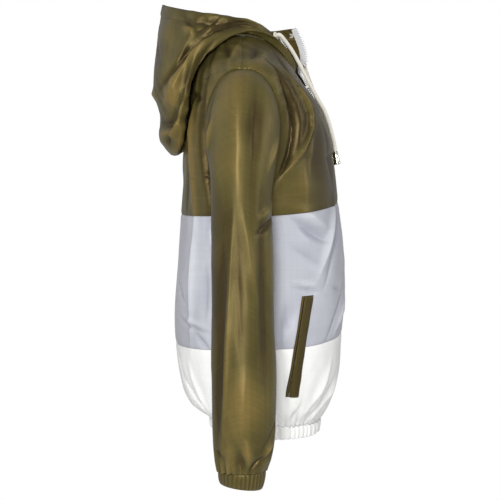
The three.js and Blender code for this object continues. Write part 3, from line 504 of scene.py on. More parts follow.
def body_relief(side, turn, row, p):
    """How far the body cloth stands off its form: the folds of all three bands, soft unevenness, and
    gathers above the elastic hem. It fades at the zip, at the centre back and at the neck."""
    total = np.zeros(p.shape[:-1])
    for band, rows in BODY_FOLDS.items():
        low, high = (ROW[name] for name in BAND_ENDS[band])

        def line_of(degrees, up):
            return body(side, np.radians(degrees), low + (high - low) * up)

        total += folded(p, rows, line_of, side > 0, BOLD[band])
    total += (
        ripple(p, seed=11, longest=150, shortest=60, height=0.8)
        + ripple(p, seed=12, longest=55, shortest=26, height=0.22)
    )
    near_neck = 0.35 + 0.65 * smooth(ROW["armpit"], ROW["shoulder"], row)
    total += crumple(p, seed=14, pitch=34, height=0.75) * near_neck
    seam_z = body(side, turn, np.full(np.shape(row), float(ROW["hem_top"])))[..., 2]
    above = np.maximum(p[..., 2] - seam_z, 0)
    total += gathers(side * turn * GIRTH["body"], above, pitch=13, height=2.0, reach=17, seed=21)
    edge = (turn - edge_turn(row)) * np.abs(half_width(row))
    back = (math.pi - turn) * np.abs(half_width(row))
    calm = smooth(0, 26, edge) * smooth(0, 0.35, ROW["neck"] - row)
    return total * calm * (0.35 + 0.65 * smooth(0, 30, back))


def body_skin(side, turn, row, out=0.0):
    """Points of the body cloth with its relief, their normals, and the relief."""
    turn, row = np.broadcast_arrays(np.asarray(turn, float), np.asarray(row, float))
    p, n = body(side, turn, row), body_normal(side, turn, row)
    relief = body_relief(side, turn, row, p)
    return p + n * (relief + out)[..., None], n, relief


# ---------------------------------------------------------------- grids and meshes

def arc(points, axis):
    """How far along the rows or columns of a grid each point lies, from the first one."""
    steps = np.linalg.norm(np.diff(points, axis=axis), axis=-1)
    pad = [(0, 0), (0, 0)]
    pad[axis] = (1, 0)
    return np.pad(np.cumsum(steps, axis=axis), pad)


def grid_normals(points, is_round=False):
    """Across both directions of a grid, by differences between neighbours."""
    if is_round:
        wide = np.concatenate([points[:, -1:], points, points[:, :1]], axis=1)
        across = (wide[:, 2:] - wide[:, :-2]) / 2
    else:
        across = np.gradient(points, axis=1)
    return unit(np.cross(across, np.gradient(points, axis=0)))


def stitched_edges(p, n, seed):
    """Draws a panel's four sewn edges in: the cloth dips to the seam over 3 mm, puckers for 12 mm
    beside it, and a last row turns under as the seam allowance."""
    up, across = arc(p, 0), arc(p, 1)
    draw = np.random.default_rng(seed)
    for away, run in ((up, across), (up[-1:] - up, across), (across, up), (across[:, -1:] - across, up)):
        phase = draw.uniform(0, 6)
        pucker = np.sin(run * 2 * math.pi / 9.5 + 1.6 * np.sin(run / 17 + phase) + phase)
        uneven = 0.5 + 0.5 * np.sin(run / 23 + 2 * phase)
        depth = 0.9 * np.exp(-((away / 2.6) ** 2)) - 0.3 * pucker * uneven * away / 4 * np.exp(-away / 4)
        p = p - n * depth[..., None]
    for axis in (0, 1):
        first, last = (p.take([k], axis) - n.take([k], axis) * TURN_UNDER for k in (0, -1))
        p = np.concatenate([first, p, last], axis=axis)
        n = np.concatenate([n.take([0], axis), n, n.take([-1], axis)], axis=axis)
    return p


def with_edges(values):
    """Repeats the outer values of a grid for the rows that turn under."""
    return np.pad(values, [(1, 1), (1, 1)] + [(0, 0)] * (values.ndim - 2), mode="edge")


def grid_object(
    name, points, material, outward, is_round=False, painted_shading=None, wall=0.8, closed_rows=False,
    from_middle=False,
):
    """A mesh from a grid of points in millimetres. Its UV map holds the cloth's own measure in metres,
    so a weave keeps its scale, and its painted_shading attribute holds painted highlight and painted shade."""
    rows, cols = points.shape[:2]
    ring = np.concatenate([points, points[:, :1]], axis=1) if is_round else points
    u = arc(ring, 1) * MM
    if from_middle:
        u = u - u[:, cols // 2][:, None]
    v = arc(points, 0) * MM
    if is_round:
        v = np.concatenate([v, v[:, :1]], axis=1)
    i = np.arange(rows if closed_rows else rows - 1)[:, None]
    j = np.arange(cols if is_round else cols - 1)[None, :]

    def corner(di, dj):
        return ((i + di) % rows * cols + (j + dj) % cols).ravel()

    def corner_uv(di, dj):
        at = (i + di) % rows
        return np.stack([u[at, j + dj], v[at, j + dj]], axis=-1).reshape(-1, 2)

    order = [(0, 0), (0, 1), (1, 1), (1, 0)]
    middle = rows // 2, cols // 3
    a, b, d = points[middle], points[middle[0], middle[1] + 1], points[middle[0] + 1, middle[1]]
    if np.cross(b - a, d - a) @ outward[middle] < 0:
        order = order[::-1]
    faces = np.stack([corner(*o) for o in order], axis=1)
    mesh = bpy.data.meshes.new(name)
    mesh.from_pydata((points.reshape(-1, 3) * MM).tolist(), [], faces.tolist())
    uv = mesh.uv_layers.new(name="weave")
    uv.data.foreach_set("uv", np.stack([corner_uv(*o) for o in order], axis=1).astype(np.float32).ravel())
    if painted_shading is not None:
        layer = mesh.attributes.new("painted_shading", "FLOAT", "POINT")
        layer.data.foreach_set("value", np.ascontiguousarray(painted_shading, np.float32).ravel())
    return finished(name, mesh, material, wall)


def finished(name, mesh, material, wall=0.0):
    """Puts a mesh into the scene as a smooth piece of the jacket, with a wall if it is cloth."""
    mesh.polygons.foreach_set("use_smooth", np.ones(len(mesh.polygons), bool))
    mesh.validate()
    mesh.update()
    piece = bpy.data.objects.new(name, mesh)
    bpy.context.scene.collection.objects.link(piece)
    piece.data.materials.append(material)
    if wall:
        solid = piece.modifiers.new("wall", "SOLIDIFY")
        solid.thickness = wall * MM
        solid.offset = -1
    return piece


def dress(piece, node, body_name=BODY):
    """Puts a piece in the place of a CAD node."""
    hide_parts(node)
    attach(piece, body_name)
    return piece


def painted_shading_of(relief):
    """Painted highlight on the ridges and painted shade in the troughs, levelling off with depth."""
    return np.tanh(relief / np.where(relief < 0, 2.6, 3.6))


# ---------------------------------------------------------------- materials

class Shade:
    """A shader socket that can be added, subtracted, multiplied and compared in Python."""

    def __init__(self, tree, socket):
        self.tree, self.socket = tree, socket

    def node(self, kind, settings=None, inputs=None, output=0):
        """Adds a node, gives it its settings and then its inputs, and wraps one of its outputs."""
        made = self.tree.nodes.new(kind)
        for key, value in (settings or {}).items():
            setattr(made, key, value)
        for key, value in (inputs or {}).items():
            if isinstance(value, Shade):
                self.tree.links.new(value.socket, made.inputs[key])
            else:
                made.inputs[key].default_value = value
        return Shade(self.tree, made.outputs[output])

    def math(self, operation, *values, clamp=False):
        inputs = dict(enumerate(values))
        return self.node("ShaderNodeMath", {"operation": operation, "use_clamp": clamp}, inputs)

    def __add__(self, other):
        return self.math("ADD", self, other)

    __radd__ = __add__

    def __sub__(self, other):
        return self.math("SUBTRACT", self, other)

    def __rsub__(self, other):
        return self.math("SUBTRACT", other, self)

    def __mul__(self, other):
        return self.math("MULTIPLY", self, other)

    __rmul__ = __mul__

    def clamped(self):
        return self.math("ADD", self, 0.0, clamp=True)

    def sine(self):
        return self.math("SINE", self)

    def mixed(self, first, second):
        """From the first colour to the second as this value goes from 0 to 1."""
        made = self.tree.nodes.new("ShaderNodeMix")
        made.data_type = "RGBA"
        self.tree.links.new(self.socket, made.inputs["Factor"])
        for key, value in (("A", first), ("B", second)):
            socket = next(s for s in made.inputs if s.name == key and s.type == "RGBA")
            if isinstance(value, Shade):
                self.tree.links.new(value.socket, socket)
            else:
                socket.default_value = value
        return Shade(self.tree, next(s for s in made.outputs if s.type == "RGBA"))

    def into(self, surface, key):
        """Drives one input of the surface."""
        self.tree.links.new(self.socket, surface.inputs[key])

    def raised(self, surface, strength, distance):
        """Bumps the surface by this value as a height."""
        inputs = {"Strength": strength, "Distance": distance, "Height": self}
        self.node("ShaderNodeBump", None, inputs).into(surface, "Normal")


def linear(colour):
    """A colour property's value as a shader wants it."""
    return (*colour, 1.0)


def darker(colour, share):
    return linear(tuple(share * c for c in colour))


def shader(name, **constants):
    """A new material, its surface shader with the values that are the same all over, and a start for
    the nodes that drive it."""
    material = bpy.data.materials.new(name)
    material.use_nodes = True
    surface = material.node_tree.nodes["Principled BSDF"]
    for key, value in constants.items():
        surface.inputs[key.replace("_", " ")].default_value = value
    return material, surface, Shade(material.node_tree, surface.outputs[0])


def object_place(start):
    return start.node("ShaderNodeTexCoord", output=3)


def split(start, vector):
    """The first and second coordinates of a vector."""
    parts = start.node("ShaderNodeSeparateXYZ", None, {0: vector})
    return parts, Shade(parts.tree, parts.socket.node.outputs[1])


def cloth_material(
    name, base, light, dark, roughness, streak=0.05, gloss=0.5, weave=0.0008, bump=0.25, paint=0.8,
):
    """Fine plain-woven cloth: its colour runs from painted shade in the troughs to painted highlight on the
    ridges, with uneven yarns across it, a fine weave in its surface and a gloss that varies with the yarns."""
    tint = (*(0.15 + 0.85 * c / max(light) for c in light), 1)
    material, surface, start = shader(name, Specular_IOR_Level=gloss, Specular_Tint=tint)
    uv = start.node("ShaderNodeUVMap", {"uv_map": "weave"})
    painted_shading = start.node("ShaderNodeAttribute", {"attribute_name": "painted_shading"}, output=2)

    def noise(vector, scale, detail, stretch):
        turned = start.node("ShaderNodeMapping", None, {"Vector": vector, "Scale": stretch})
        return start.node("ShaderNodeTexNoise", None, {"Vector": turned, "Scale": scale, "Detail": detail})

    weft = noise(uv, 1.0, 4.0, (11, 300, 1))
    warp = noise(uv, 1.0, 3.0, (240, 7, 1))
    cloud = noise(object_place(start), 7.0, 2.0, (1, 1, 0.4))
    # painted shade and painted highlight from the folds, with soft random mottling of the cloth added
    lie = painted_shading * paint + (cloud - 0.5) * 1.1
    colour = lie.clamped().mixed(linear(base), linear(light))
    colour = (lie * -1.0).clamped().mixed(colour, linear(dark))
    yarn = ((weft - 0.5) * (6 * streak) + (warp - 0.5) * (4 * streak) + 0.5).clamped()
    pale = yarn.mixed((0.72, 0.72, 0.72, 1), (1.28, 1.28, 1.28, 1))
    toned = start.node("ShaderNodeVectorMath", {"operation": "MULTIPLY"}, {0: colour, 1: pale})
    toned.into(surface, "Base Color")
    ((weft - 0.5) * 0.12 + (warp - 0.5) * 0.08 + roughness).into(surface, "Roughness")

    across, length = split(start, uv)
    rate = 2 * math.pi / weave
    plain = (across * rate).sine() * (length * rate).sine()
    (plain * 0.3 + weft * 0.9 + warp * 0.5).raised(surface, bump, 0.00025)
    return material


def plastic_material(name, colour, roughness):
    """Moulded plastic with a faint unevenness in its gloss."""
    material, surface, start = shader(name, Coat_Weight=0.15)
    inputs = {"Vector": object_place(start), "Scale": 400.0, "Detail": 2.0}
    grain = start.node("ShaderNodeTexNoise", None, inputs)
    grain.mixed(darker(colour, 0.9), linear(colour)).into(surface, "Base Color")
    ((grain - 0.5) * 0.15 + roughness).into(surface, "Roughness")
    grain.raised(surface, 0.1, 0.0001)
    return material


def metal_material(name, colour):
    """Polished plated metal with fine scuffs round it."""
    material, surface, start = shader(name, Metallic=1.0)
    inputs = {"Vector": object_place(start), "Scale": 900.0, "Detail": 3.0}
    scuff = start.node("ShaderNodeTexNoise", None, inputs)
    scuff.mixed(darker(colour, 0.8), linear(colour)).into(surface, "Base Color")
    ((scuff - 0.5) * 0.15 + 0.2).into(surface, "Roughness")
    return material


def braid_material(name, colour, turns, pitch):
    """Tubular braid: two sets of slanted ribs cross each other round the cord."""
    material, surface, start = shader(name, Sheen_Weight=0.2, Sheen_Roughness=0.5)
    across, length = split(start, start.node("ShaderNodeUVMap", {"uv_map": "weave"}))
    round_rate, rate = turns / (CORD_RADIUS * MM), 2 * math.pi / pitch
    one = (across * round_rate + length * rate).sine()
    other = (across * round_rate - length * rate).sine()
    rib = one * other * 0.5 + 0.5
    # painted shade: the grooves between the ribs are coloured darker
    rib.clamped().mixed(darker(colour, 0.72), linear(colour)).into(surface, "Base Color")
    (0.85 - rib * 0.15).into(surface, "Roughness")
    rib.raised(surface, 0.6, 0.0004)
    return material


def tape_material(name, light, dark, pitch):
    """Woven zip tape: fine ribs across it, which follow the object's own height."""
    material, surface, start = shader(name, Sheen_Weight=0.1)
    parts, _ = split(start, object_place(start))
    height = Shade(parts.tree, parts.socket.node.outputs[2])
    rib = (height * (2 * math.pi / pitch)).sine() * 0.5 + 0.5
    # painted shade: the grooves between the ribs are coloured darker
    rib.mixed(linear(dark), linear(light)).into(surface, "Base Color")
    (rib * 0.1 + 0.65).into(surface, "Roughness")
    rib.raised(surface, 0.4, 0.0002)
    return material


MATERIALS = {}


def mat(name):
    """The jacket's finishes, each made when it is first used."""
    if name not in MATERIALS:
        c = bpy.context.scene.jacket_colours
        made = {
            "olive": lambda: cloth_material(
                "olive_taffeta", c.olive, c.olive_highlight, c.olive_shade_and_thread, roughness=0.36, streak=0.15,
                gloss=0.55, bump=0.3, paint=1.15,
            ),
            # the pocket facing's finish: dark olive as painted shadow in the pocket opening
            "olive_shade": lambda: cloth_material(
                "olive_facing", c.olive_shade_and_thread, c.olive_highlight, c.olive_shade_and_thread, roughness=0.5, gloss=0.4,
            ),
            "grey": lambda: cloth_material(
                "grey_satin", c.grey, c.grey_highlight, c.grey_shade, roughness=0.32, paint=0.5,
            ),
            "white": lambda: cloth_material(
                "white_taffeta", c.white, c.white, c.white_shade_and_thread, roughness=0.42, streak=0.015, paint=0.35,
            ),
            "tape": lambda: tape_material("zip_tape_weave", c.white, c.white_shade_and_thread, pitch=0.0011),
            "plastic": lambda: plastic_material("zip_plastic", c.zip_white, 0.32),
            "eyelet": lambda: plastic_material("eyelet_ivory", c.ivory, 0.28),
            "cord": lambda: braid_material("cord_braid", c.ivory, turns=4, pitch=0.0042),
            "metal": lambda: metal_material("cord_end_metal", c.metal),
            "thread_olive": lambda: plastic_material("thread_olive", c.olive_shade_and_thread, 0.6),
            "thread_white": lambda: plastic_material("thread_white", c.white_shade_and_thread, 0.6),
        }[name]
        MATERIALS[name] = made()
    return MATERIALS[name]


# ---------------------------------------------------------------- body

def bunched(low, high, count):
    """Rows from low to high that lie closer together at both ends."""
    f = np.linspace(0, 1, count)
    return low + (high - low) * (0.25 * f + 0.375 * (1 - np.cos(math.pi * f)))


def upper_rows():
    return np.concatenate([
        np.linspace(ROW["high_seam"], ROW["armpit"], 22)[:-1],
        bunched(ROW["armpit"], ROW["shoulder"], 64),
        np.linspace(ROW["shoulder"], ROW["neck"], 40)[1:],
    ])


BANDS = {
    "upper": {"rows": upper_rows, "material": "olive", "slot": "olive_taffeta"},
    "middle": {
        "rows": lambda: np.linspace(ROW["low_seam"], ROW["high_seam"], 76),
        "material": "grey", "slot": "grey_satin",
    },
    "lower": {
        "rows": lambda: np.linspace(ROW["hem_top"], ROW["low_seam"], 66),
        "material": "white", "slot": "white_taffeta",
    },
}
FRONT_COLUMNS, BACK_COLUMNS = 90, 100
CHEST_SHADE = 0.45  # how much painted shade darkens the upper cloth where it faces forward
EASE = 0.07  # in rings, about 5 mm of height


def eased_armhole(side, rows, is_front):
    """The armhole's edge for a panel. At its lowest point the edge swings right round within a
    millimetre, so there it is averaged with the rows near it, which keeps the grid from shearing."""
    turn = armhole_turn(side, rows, is_front)
    weight = np.exp(-(((rows[:, None] - rows[None, :]) / EASE) ** 2)) * np.gradient(rows)[None, :]
    eased = weight @ turn / weight.sum(axis=1)
    low_end = 1 - smooth(ROW["armpit"] + 2 * EASE, ROW["armpit"] + 4 * EASE, rows)
    return turn + (eased - turn) * low_end


def front_panel(side, rows):
    """A front panel's grid, from the front edge back to the side seam or the armhole."""
    f = np.linspace(0, 1, FRONT_COLUMNS)[None, :]
    start, end = edge_turn(rows)[:, None], eased_armhole(side, rows, True)[:, None]
    return body_skin(side, start + (end - start) * f, rows[:, None] + 0 * f)


def joined(right, left):
    """One grid from two halves that meet at the centre back."""
    return np.concatenate([right, left[:, ::-1][:, 1:]], axis=1)


def back_panel(rows):
    """The back panel's grid, from the wearer's right side round the centre back to the left."""
    halves = []
    for side in (-1, 1):
        f = np.linspace(0, 1, BACK_COLUMNS)[None, :]
        start = eased_armhole(side, rows, False)[:, None]
        halves.append(body_skin(side, start + (math.pi - start) * f, rows[:, None] + 0 * f))
    whole = [joined(right, left) for right, left in zip(*halves)]
    whole[1] = unit(whole[1])
    return whole


def add_body_panels():
    for band, said in BANDS.items():
        rows = said["rows"]()
        made = [(f"front_{band}_{name}", front_panel(side, rows)) for name, side in SIDES.items()]
        made.append((f"back_{band}", back_panel(rows)))
        for name, (p, n, relief) in made:
            # painted highlight on the fold ridges and painted shade in the troughs, with painted shade where
            # the upper cloth faces forward
            shade = painted_shading_of(relief)
            if band == "upper":
                shade = shade - CHEST_SHADE * smooth(0.25, 0.75, -n[..., 1])
            p = stitched_edges(p, n, seed=len(name))
            piece = grid_object(
                f"cloth_{name}", p, mat(said["material"]), with_edges(n), painted_shading=with_edges(shade),
                from_middle=name.startswith("back"),
            )
            dress(piece, name)


CASING_HALF_THICK = 1.2
HEM_COLUMNS, HEM_PLUMP = 330, 0.8  # plump: how far a casing's cloth stands off its elastic
CUFF_COLUMNS, CUFF_PLUMP, CUFF_DROP = 220, 0.7, 3.5


def casing(p, n, wave, rows=18):
    """A casing round an elastic: a flattened loop round each column of a band's two edge rows."""
    low, high = p[0], p[-1]
    angle = np.linspace(0, 2 * math.pi, rows, endpoint=False)[:, None, None]
    middle, reach = (low + high) / 2, (high - low) / 2
    rise = np.sign(np.cos(angle)) * np.abs(np.cos(angle)) ** 0.8
    swell = np.sin(angle) * (CASING_HALF_THICK + wave[None, :, None])
    normal = unit(n[0] + n[-1])[None]
    return middle[None] + reach[None] * rise + normal * swell, normal * np.sin(angle)


def add_hem_band():
    """The elastic hem casing, from front edge to front edge, gathered all round."""
    halves = []
    for side in (-1, 1):
        turn = np.linspace(float(edge_turn(ROW["hem"])), math.pi, HEM_COLUMNS)
        rows = np.array([ROW["hem"], ROW["hem_top"]], float)[:, None]
        p, n, _ = body_skin(side, turn[None, :] + 0 * rows, rows + 0 * turn[None, :])
        halves.append((p, n, (side * turn * GIRTH["body"])[None, :]))
    p, n, length = (joined(right, left) for right, left in zip(*halves))
    wave = HEM_PLUMP + gathers(length[0], 0, pitch=7.5, height=0.55, reach=30, seed=33)
    ring, out = casing(p, n, wave)
    # painted highlight on the crests of the gathers and painted shade between them, a little darker overall
    shade = np.tanh(wave - HEM_PLUMP)[None, :] * np.ones((len(ring), 1)) * 0.6 - 0.15
    piece = grid_object("cloth_hem_band", ring, mat("white"), out, painted_shading=shade, wall=0, closed_rows=True)
    close_ends(piece, ring)
    dress(piece, "hem_band")


def close_ends(piece, ring):
    """Closes the two open ends of a casing with a face each."""
    rows, cols = ring.shape[:2]
    mesh = piece.data
    made = bmesh.new()
    made.from_mesh(mesh)
    made.verts.ensure_lookup_table()
    for column in (0, cols - 1):
        made.faces.new([made.verts[i * cols + column] for i in range(rows)])
    bmesh.ops.recalc_face_normals(made, faces=made.faces)
    made.to_mesh(mesh)
    made.free()


# ---------------------------------------------------------------- sleeves

def armhole_line(side):
    """Points of one armhole with the body's relief, sorted by their angle seen from the side."""
    rows = bunched(ROW["armpit"], ROW["shoulder"], 240)
    angles, points = [], []
    for is_front, part in ((True, rows), (False, rows[1:-1])):
        turn = armhole_turn(side, part, is_front)
        plain = body(side, turn, part)
        angle = np.arctan2(
            (plain[:, 1] - ARMHOLE["y"]) / ARMHOLE["half_depth"],
            -(plain[:, 2] - ARMHOLE["z"]) / ARMHOLE["half_height"],
        )
        angles.append(angle)
        points.append(body_skin(side, turn, part, -0.9)[0])
    angles, points = np.concatenate(angles), np.concatenate(points)
    order = np.argsort(angles)
    return angles[order], points[order]


SLEEVE_COLUMNS, CAP_ROWS, ARM_ROWS = 148, 54, 140


def sleeve_form(side):
    """The sleeve without folds. The head's lines leave the armhole outwards and bend down into the
    first ring, as a cubic with a direction at each end; below it the rings run on in a curve."""
    angle = np.linspace(-math.pi, math.pi, SLEEVE_COLUMNS, endpoint=False)
    known, points = armhole_line(side)
    hole = between(angle, known, points, period=2 * math.pi)
    end = sleeve_ring(side, angle, SLEEVE_RINGS[0] + np.zeros((len(angle), 1)))
    reach = np.linalg.norm(end - hole, axis=1)[:, None]
    top = (1 - np.cos(angle)) / 2
    leave = np.stack([side * (0.9 + 0.05 * top), 0.3 * np.sin(angle), -0.45 + 0.15 * top], axis=-1)
    arrive = np.stack([side * (0.05 - 0.01 * top), 0 * top, -1 + 0 * top], axis=-1)
    leave, arrive = unit(leave) * reach, unit(arrive) * reach
    f = np.linspace(0, 1, CAP_ROWS, endpoint=False)[:, None, None]
    cap = (
        hole * (2 * f**3 - 3 * f**2 + 1) + leave * (f**3 - 2 * f**2 + f)
        + end * (3 * f**2 - 2 * f**3) + arrive * (f**3 - f**2)
    )
    at = np.linspace(0, len(SLEEVE_RINGS) - 1, ARM_ROWS)
    rings = along(SLEEVE_RINGS, at)[:, None, :] + np.zeros((1, SLEEVE_COLUMNS, 1))
    return angle, np.concatenate([cap, sleeve_ring(side, angle[None, :] + 0 * at[:, None], rings)])


def add_sleeves():
    for name, side in SIDES.items():
        angle, form = sleeve_form(side)
        n = grid_normals(form, is_round=True)
        if (n[ARM_ROWS, 0] @ (form[ARM_ROWS, 0] - form[ARM_ROWS].mean(axis=0))) < 0:
            n = -n
        wrapped = np.concatenate([form, form[:, :1]], axis=1)

        def line_of(degrees, down):
            columns = (degrees + 180) % 360 / 360 * SLEEVE_COLUMNS
            return on_grid(wrapped, columns, down * (len(form) - 1))

        relief = folded(form, SLEEVE_FOLDS, line_of, side > 0, BOLD["sleeve"])
        relief += (
            ripple(form, seed=31 + side, longest=130, shortest=50, height=0.8)
            + ripple(form, seed=35, longest=48, shortest=22, height=0.2)
        )
        low = smooth(-440, -540, form[..., 2])
        relief += crumple(form, seed=37 + side, pitch=30, height=0.4) * (0.2 + 0.8 * low)
        girth, above = angle[None, :] * GIRTH["sleeve"], np.maximum(form[..., 2] - CUFF["top"], 0)
        relief += gathers(girth, above, pitch=12, height=1.9, reach=13, seed=41 + side)
        from_seam = arc(form, 0)
        relief *= smooth(0, 16, from_seam)
        p = form + n * relief[..., None]
        pucker = 0.25 * np.sin(angle[None, :] * 46) * np.exp(-((from_seam / 9) ** 2))
        p = p + n * (pucker * smooth(0, 3, from_seam))[..., None]
        p = np.concatenate([p[:1] - n[:1] * 1.5 - np.array([side * 2.5, 0, 0]), p, p[-1:] - n[-1:] * 2.5])
        down = np.linspace(0, 1, len(form))[:, None]
        # painted shade: behind the long line down the sleeve the cloth is painted darker, over the painted
        # highlight and shade of its folds
        line = np.radians(np.interp(down, [0.3, 0.4, 0.98], [166, 160, 125]))
        behind = smooth(-0.08, 0.04, line - angle % (2 * math.pi)) * smooth(0.2, 0.34, down)
        shade = painted_shading_of(relief) - 0.55 * behind
        piece = grid_object(
            f"cloth_sleeve_{name}", p, mat("olive"), np.concatenate([n[:1], n, n[-1:]]), is_round=True,
            painted_shading=np.pad(shade, [(1, 1), (0, 0)], mode="edge"),
        )
        dress(piece, f"sleeve_{name}")


def add_cuffs():
    for name, side in SIDES.items():
        angle = np.linspace(-math.pi, math.pi, CUFF_COLUMNS, endpoint=False)
        rows = np.array([
            [CUFF["bottom"], CUFF["x"], CUFF["y"][1], CUFF["width"][1], CUFF["depth"][1]],
            [CUFF["top"], CUFF["x"], CUFF["y"][0], CUFF["width"][0], CUFF["depth"][0]],
        ])
        wide = rows[:, None, :] + np.zeros((1, CUFF_COLUMNS, 1))
        p = sleeve_ring(side, angle[None, :] + np.zeros((2, 1)), wide)
        p[0, :, 2] += CUFF_DROP * np.sin(angle)  # the lower edge drops towards the front
        n = unit((p - p.mean(axis=1, keepdims=True)) * np.array([1, 1, 0]))
        wave = CUFF_PLUMP + gathers(angle * GIRTH["cuff"], 0, pitch=5.6, height=0.6, reach=30, seed=51)
        p = p - n * CASING_HALF_THICK
        ring, out = casing(p, n, wave)
        # painted highlight on the crests of the gathers and painted shade between them, a little darker
        # overall
        shade = np.tanh(wave - CUFF_PLUMP)[None, :] * np.ones((len(ring), 1)) * 0.9 - 0.25
        piece = grid_object(
            f"cloth_cuff_{name}", ring, mat("olive"), out, is_round=True, painted_shading=shade, wall=0,
            closed_rows=True,
        )
        dress(piece, f"cuff_{name}")


# ---------------------------------------------------------------- hood

HOOD_COLUMNS, HOOD_UPS = 150, 132
HOOD_TURNED_ROWS = 14  # of the face edge, turned back under itself
CASING_SEAM = 17.5  # from the face edge to the casing's stitches


def hood_grid(side):
    """Half the hood with its relief, the swell of the casing and the dip of its stitches. Past the face edge
    the cloth turns under itself as the casing that the drawcord runs in; add_hood lays those rows under the
    last stretch, closer to the bag."""
    start = float(edge_turn(ROW["neck"]))
    turn = np.linspace(start, math.pi, HOOD_COLUMNS)[None, :]
    up = np.linspace(0, 1, HOOD_UPS)[:, None]
    form = hood(side, turn + 0 * up, up + 0 * turn)
    n = grid_normals(form) * side
    n[:, -1, 0] = 0
    n = unit(n)

    def line_of(share, rise):
        return on_grid(form, share * (HOOD_COLUMNS - 1), rise * (HOOD_UPS - 1))

    relief = folded(form, HOOD_FOLDS, line_of, side > 0, BOLD["hood"], unit_round=0.005)
    relief += (
        ripple(form, seed=61, longest=110, shortest=45, height=0.8)
        + crumple(form, seed=63 + side, pitch=36, height=1.2)
    )
    relief += crumple(form, seed=66 + side, pitch=17, height=0.28)
    from_neck = arc(form, 0)
    from_edge = from_neck[-1:] - from_neck
    across = arc(form, 1)
    relief = relief * smooth(0, 18, from_neck) * smooth(0, 10, across)
    casing_swell = 1.5 * smooth(0, 5, from_edge) * (1 - smooth(12, 17, from_edge))
    stitch_dip = 0.7 * np.exp(-(((from_edge - CASING_SEAM) / 1.6) ** 2))
    centre_dip = 0.9 * np.exp(-(((across[:, -1:] - across) / 2.4) ** 2))
    offset = relief + casing_swell - stitch_dip - centre_dip
    return form + n * offset[..., None], n, relief, from_edge


def add_hood():
    for name, side in SIDES.items():
        p, n, relief, _ = hood_grid(side)
        turned = slice(-2, -2 - HOOD_TURNED_ROWS, -1)
        points = np.concatenate([p[:1] - n[:1] * 2.2, p, p[turned] - n[turned] * 2.4])
        outward = np.concatenate([n[:1], n, -n[turned]])
        # painted highlight on the hood's ridges and painted shade in its troughs
        painted_shading = painted_shading_of(np.concatenate([relief[:1], relief, relief[turned]]))
        closing = points[:, -1:] - outward[:, -1:] * np.array([0, 2.2, 2.2])
        points = np.concatenate([points, closing], axis=1)
        outward = np.concatenate([outward, outward[:, -1:]], axis=1)
        painted_shading = np.concatenate([painted_shading, painted_shading[:, -1:]], axis=1)
        piece = grid_object(f"cloth_hood_{name}", points, mat("olive"), outward, painted_shading=painted_shading)
        dress(piece, f"hood_{name}")


# ---------------------------------------------------------------- pockets

def place_on(side, y, z):
    """The turn and row of the tube at a given y and z, by repeated straight-line steps."""
    turn, row = np.full(y.shape, 1.0), np.full(y.shape, float(ROW["waist"]))
    e = 1e-3
    for _ in range(30):
        p = body(side, turn, row)
        by_turn = (body(side, turn + e, row) - p) / e
        by_row = (body(side, turn, row + e) - p) / e
        det = by_turn[..., 1] * by_row[..., 2] - by_row[..., 1] * by_turn[..., 2]
        ey, ez = y - p[..., 1], z - p[..., 2]
        turn = turn + (ey * by_row[..., 2] - by_row[..., 1] * ez) / det
        row = row + (by_turn[..., 1] * ez - ey * by_turn[..., 2]) / det
    return turn, row


STRIP_ROWS, WELT_COLUMNS, FACING_COLUMNS = 90, 30, 12


def strip(side, start, stop, profile):
    """A strip that lies along the welt. profile gives how far each point stands off the cloth."""
    f = np.linspace(0, 1, STRIP_ROWS)
    y = WELT["top_y"] + (WELT["bottom_y"] - WELT["top_y"]) * f
    z = WELT["top"] + (WELT["bottom"] - WELT["top"]) * f
    turn, row = place_on(side, y, z)
    e = 1e-3
    speed = np.linalg.norm(body(side, turn + e, row) - body(side, turn - e, row), axis=-1) / (2 * e)
    distance = np.linspace(start, stop, profile.shape[1])
    turns = turn[:, None] + distance[None, :] / speed[:, None]
    return body_skin(side, turns, row[:, None] + 0 * turns, profile)


def add_pockets():
    length = np.linspace(0, 1, STRIP_ROWS)[:, None]
    ends = smooth(0, 0.02, length) * smooth(0, 0.02, 1 - length)
    across, over = np.linspace(0, 1, WELT_COLUMNS), np.linspace(0, 1, FACING_COLUMNS)
    for name, side in SIDES.items():
        pillow = 0.9 + 1.1 * np.clip(4 * across * (1 - across), 0, 1) ** 0.35
        wrinkle = 0.35 * np.sin(17 * length + 5 * across) * np.sin(9 * length + 1)
        wrinkle = wrinkle + 0.5 * smooth(0.9, 1, length)
        profile = (pillow[None, :] + wrinkle) * (0.25 + 0.75 * ends)
        p, n, _ = strip(side, -WELT["ahead"], WELT["behind"], profile)
        p = np.concatenate([p[:, :1] - n[:, :1] * 1.0, p, p[:, -1:] - n[:, -1:] * 1.0], axis=1)
        n = np.concatenate([n[:, :1], n, n[:, -1:]], axis=1)
        # painted shade over the whole welt, lighter towards the opening
        shade = np.concatenate([across[:1], across, across[-1:]])[None, :] * 0.3 - 0.75 + 0 * length
        piece = grid_object(f"cloth_pocket_welt_{name}", p, mat("olive"), n, painted_shading=shade, wall=0.6)
        dress(piece, f"pocket_welt_{name}")

        start = WELT["behind"] + 0.2
        roll = 0.3 + 0.9 * np.exp(-(((over - 0.55) / 0.2) ** 2))
        profile = roll[None, :] * (0.4 + 0.6 * ends) + 0 * length
        p, n, _ = strip(side, start, start + WELT["facing"], profile)
        # the facing is painted dark as the shadow in the pocket opening, with a painted highlight along its
        # rolled crest
        crest = np.exp(-(((over - 0.55) / 0.16) ** 2))
        shade = (crest * 1.4 - 0.5)[None, :] + 0 * length
        piece = grid_object(f"cloth_pocket_facing_{name}", p, mat("olive_shade"), n, painted_shading=shade, wall=0.5)
        dress(piece, f"pocket_facing_{name}")


# ---------------------------------------------------------------- eyelets and drawcord

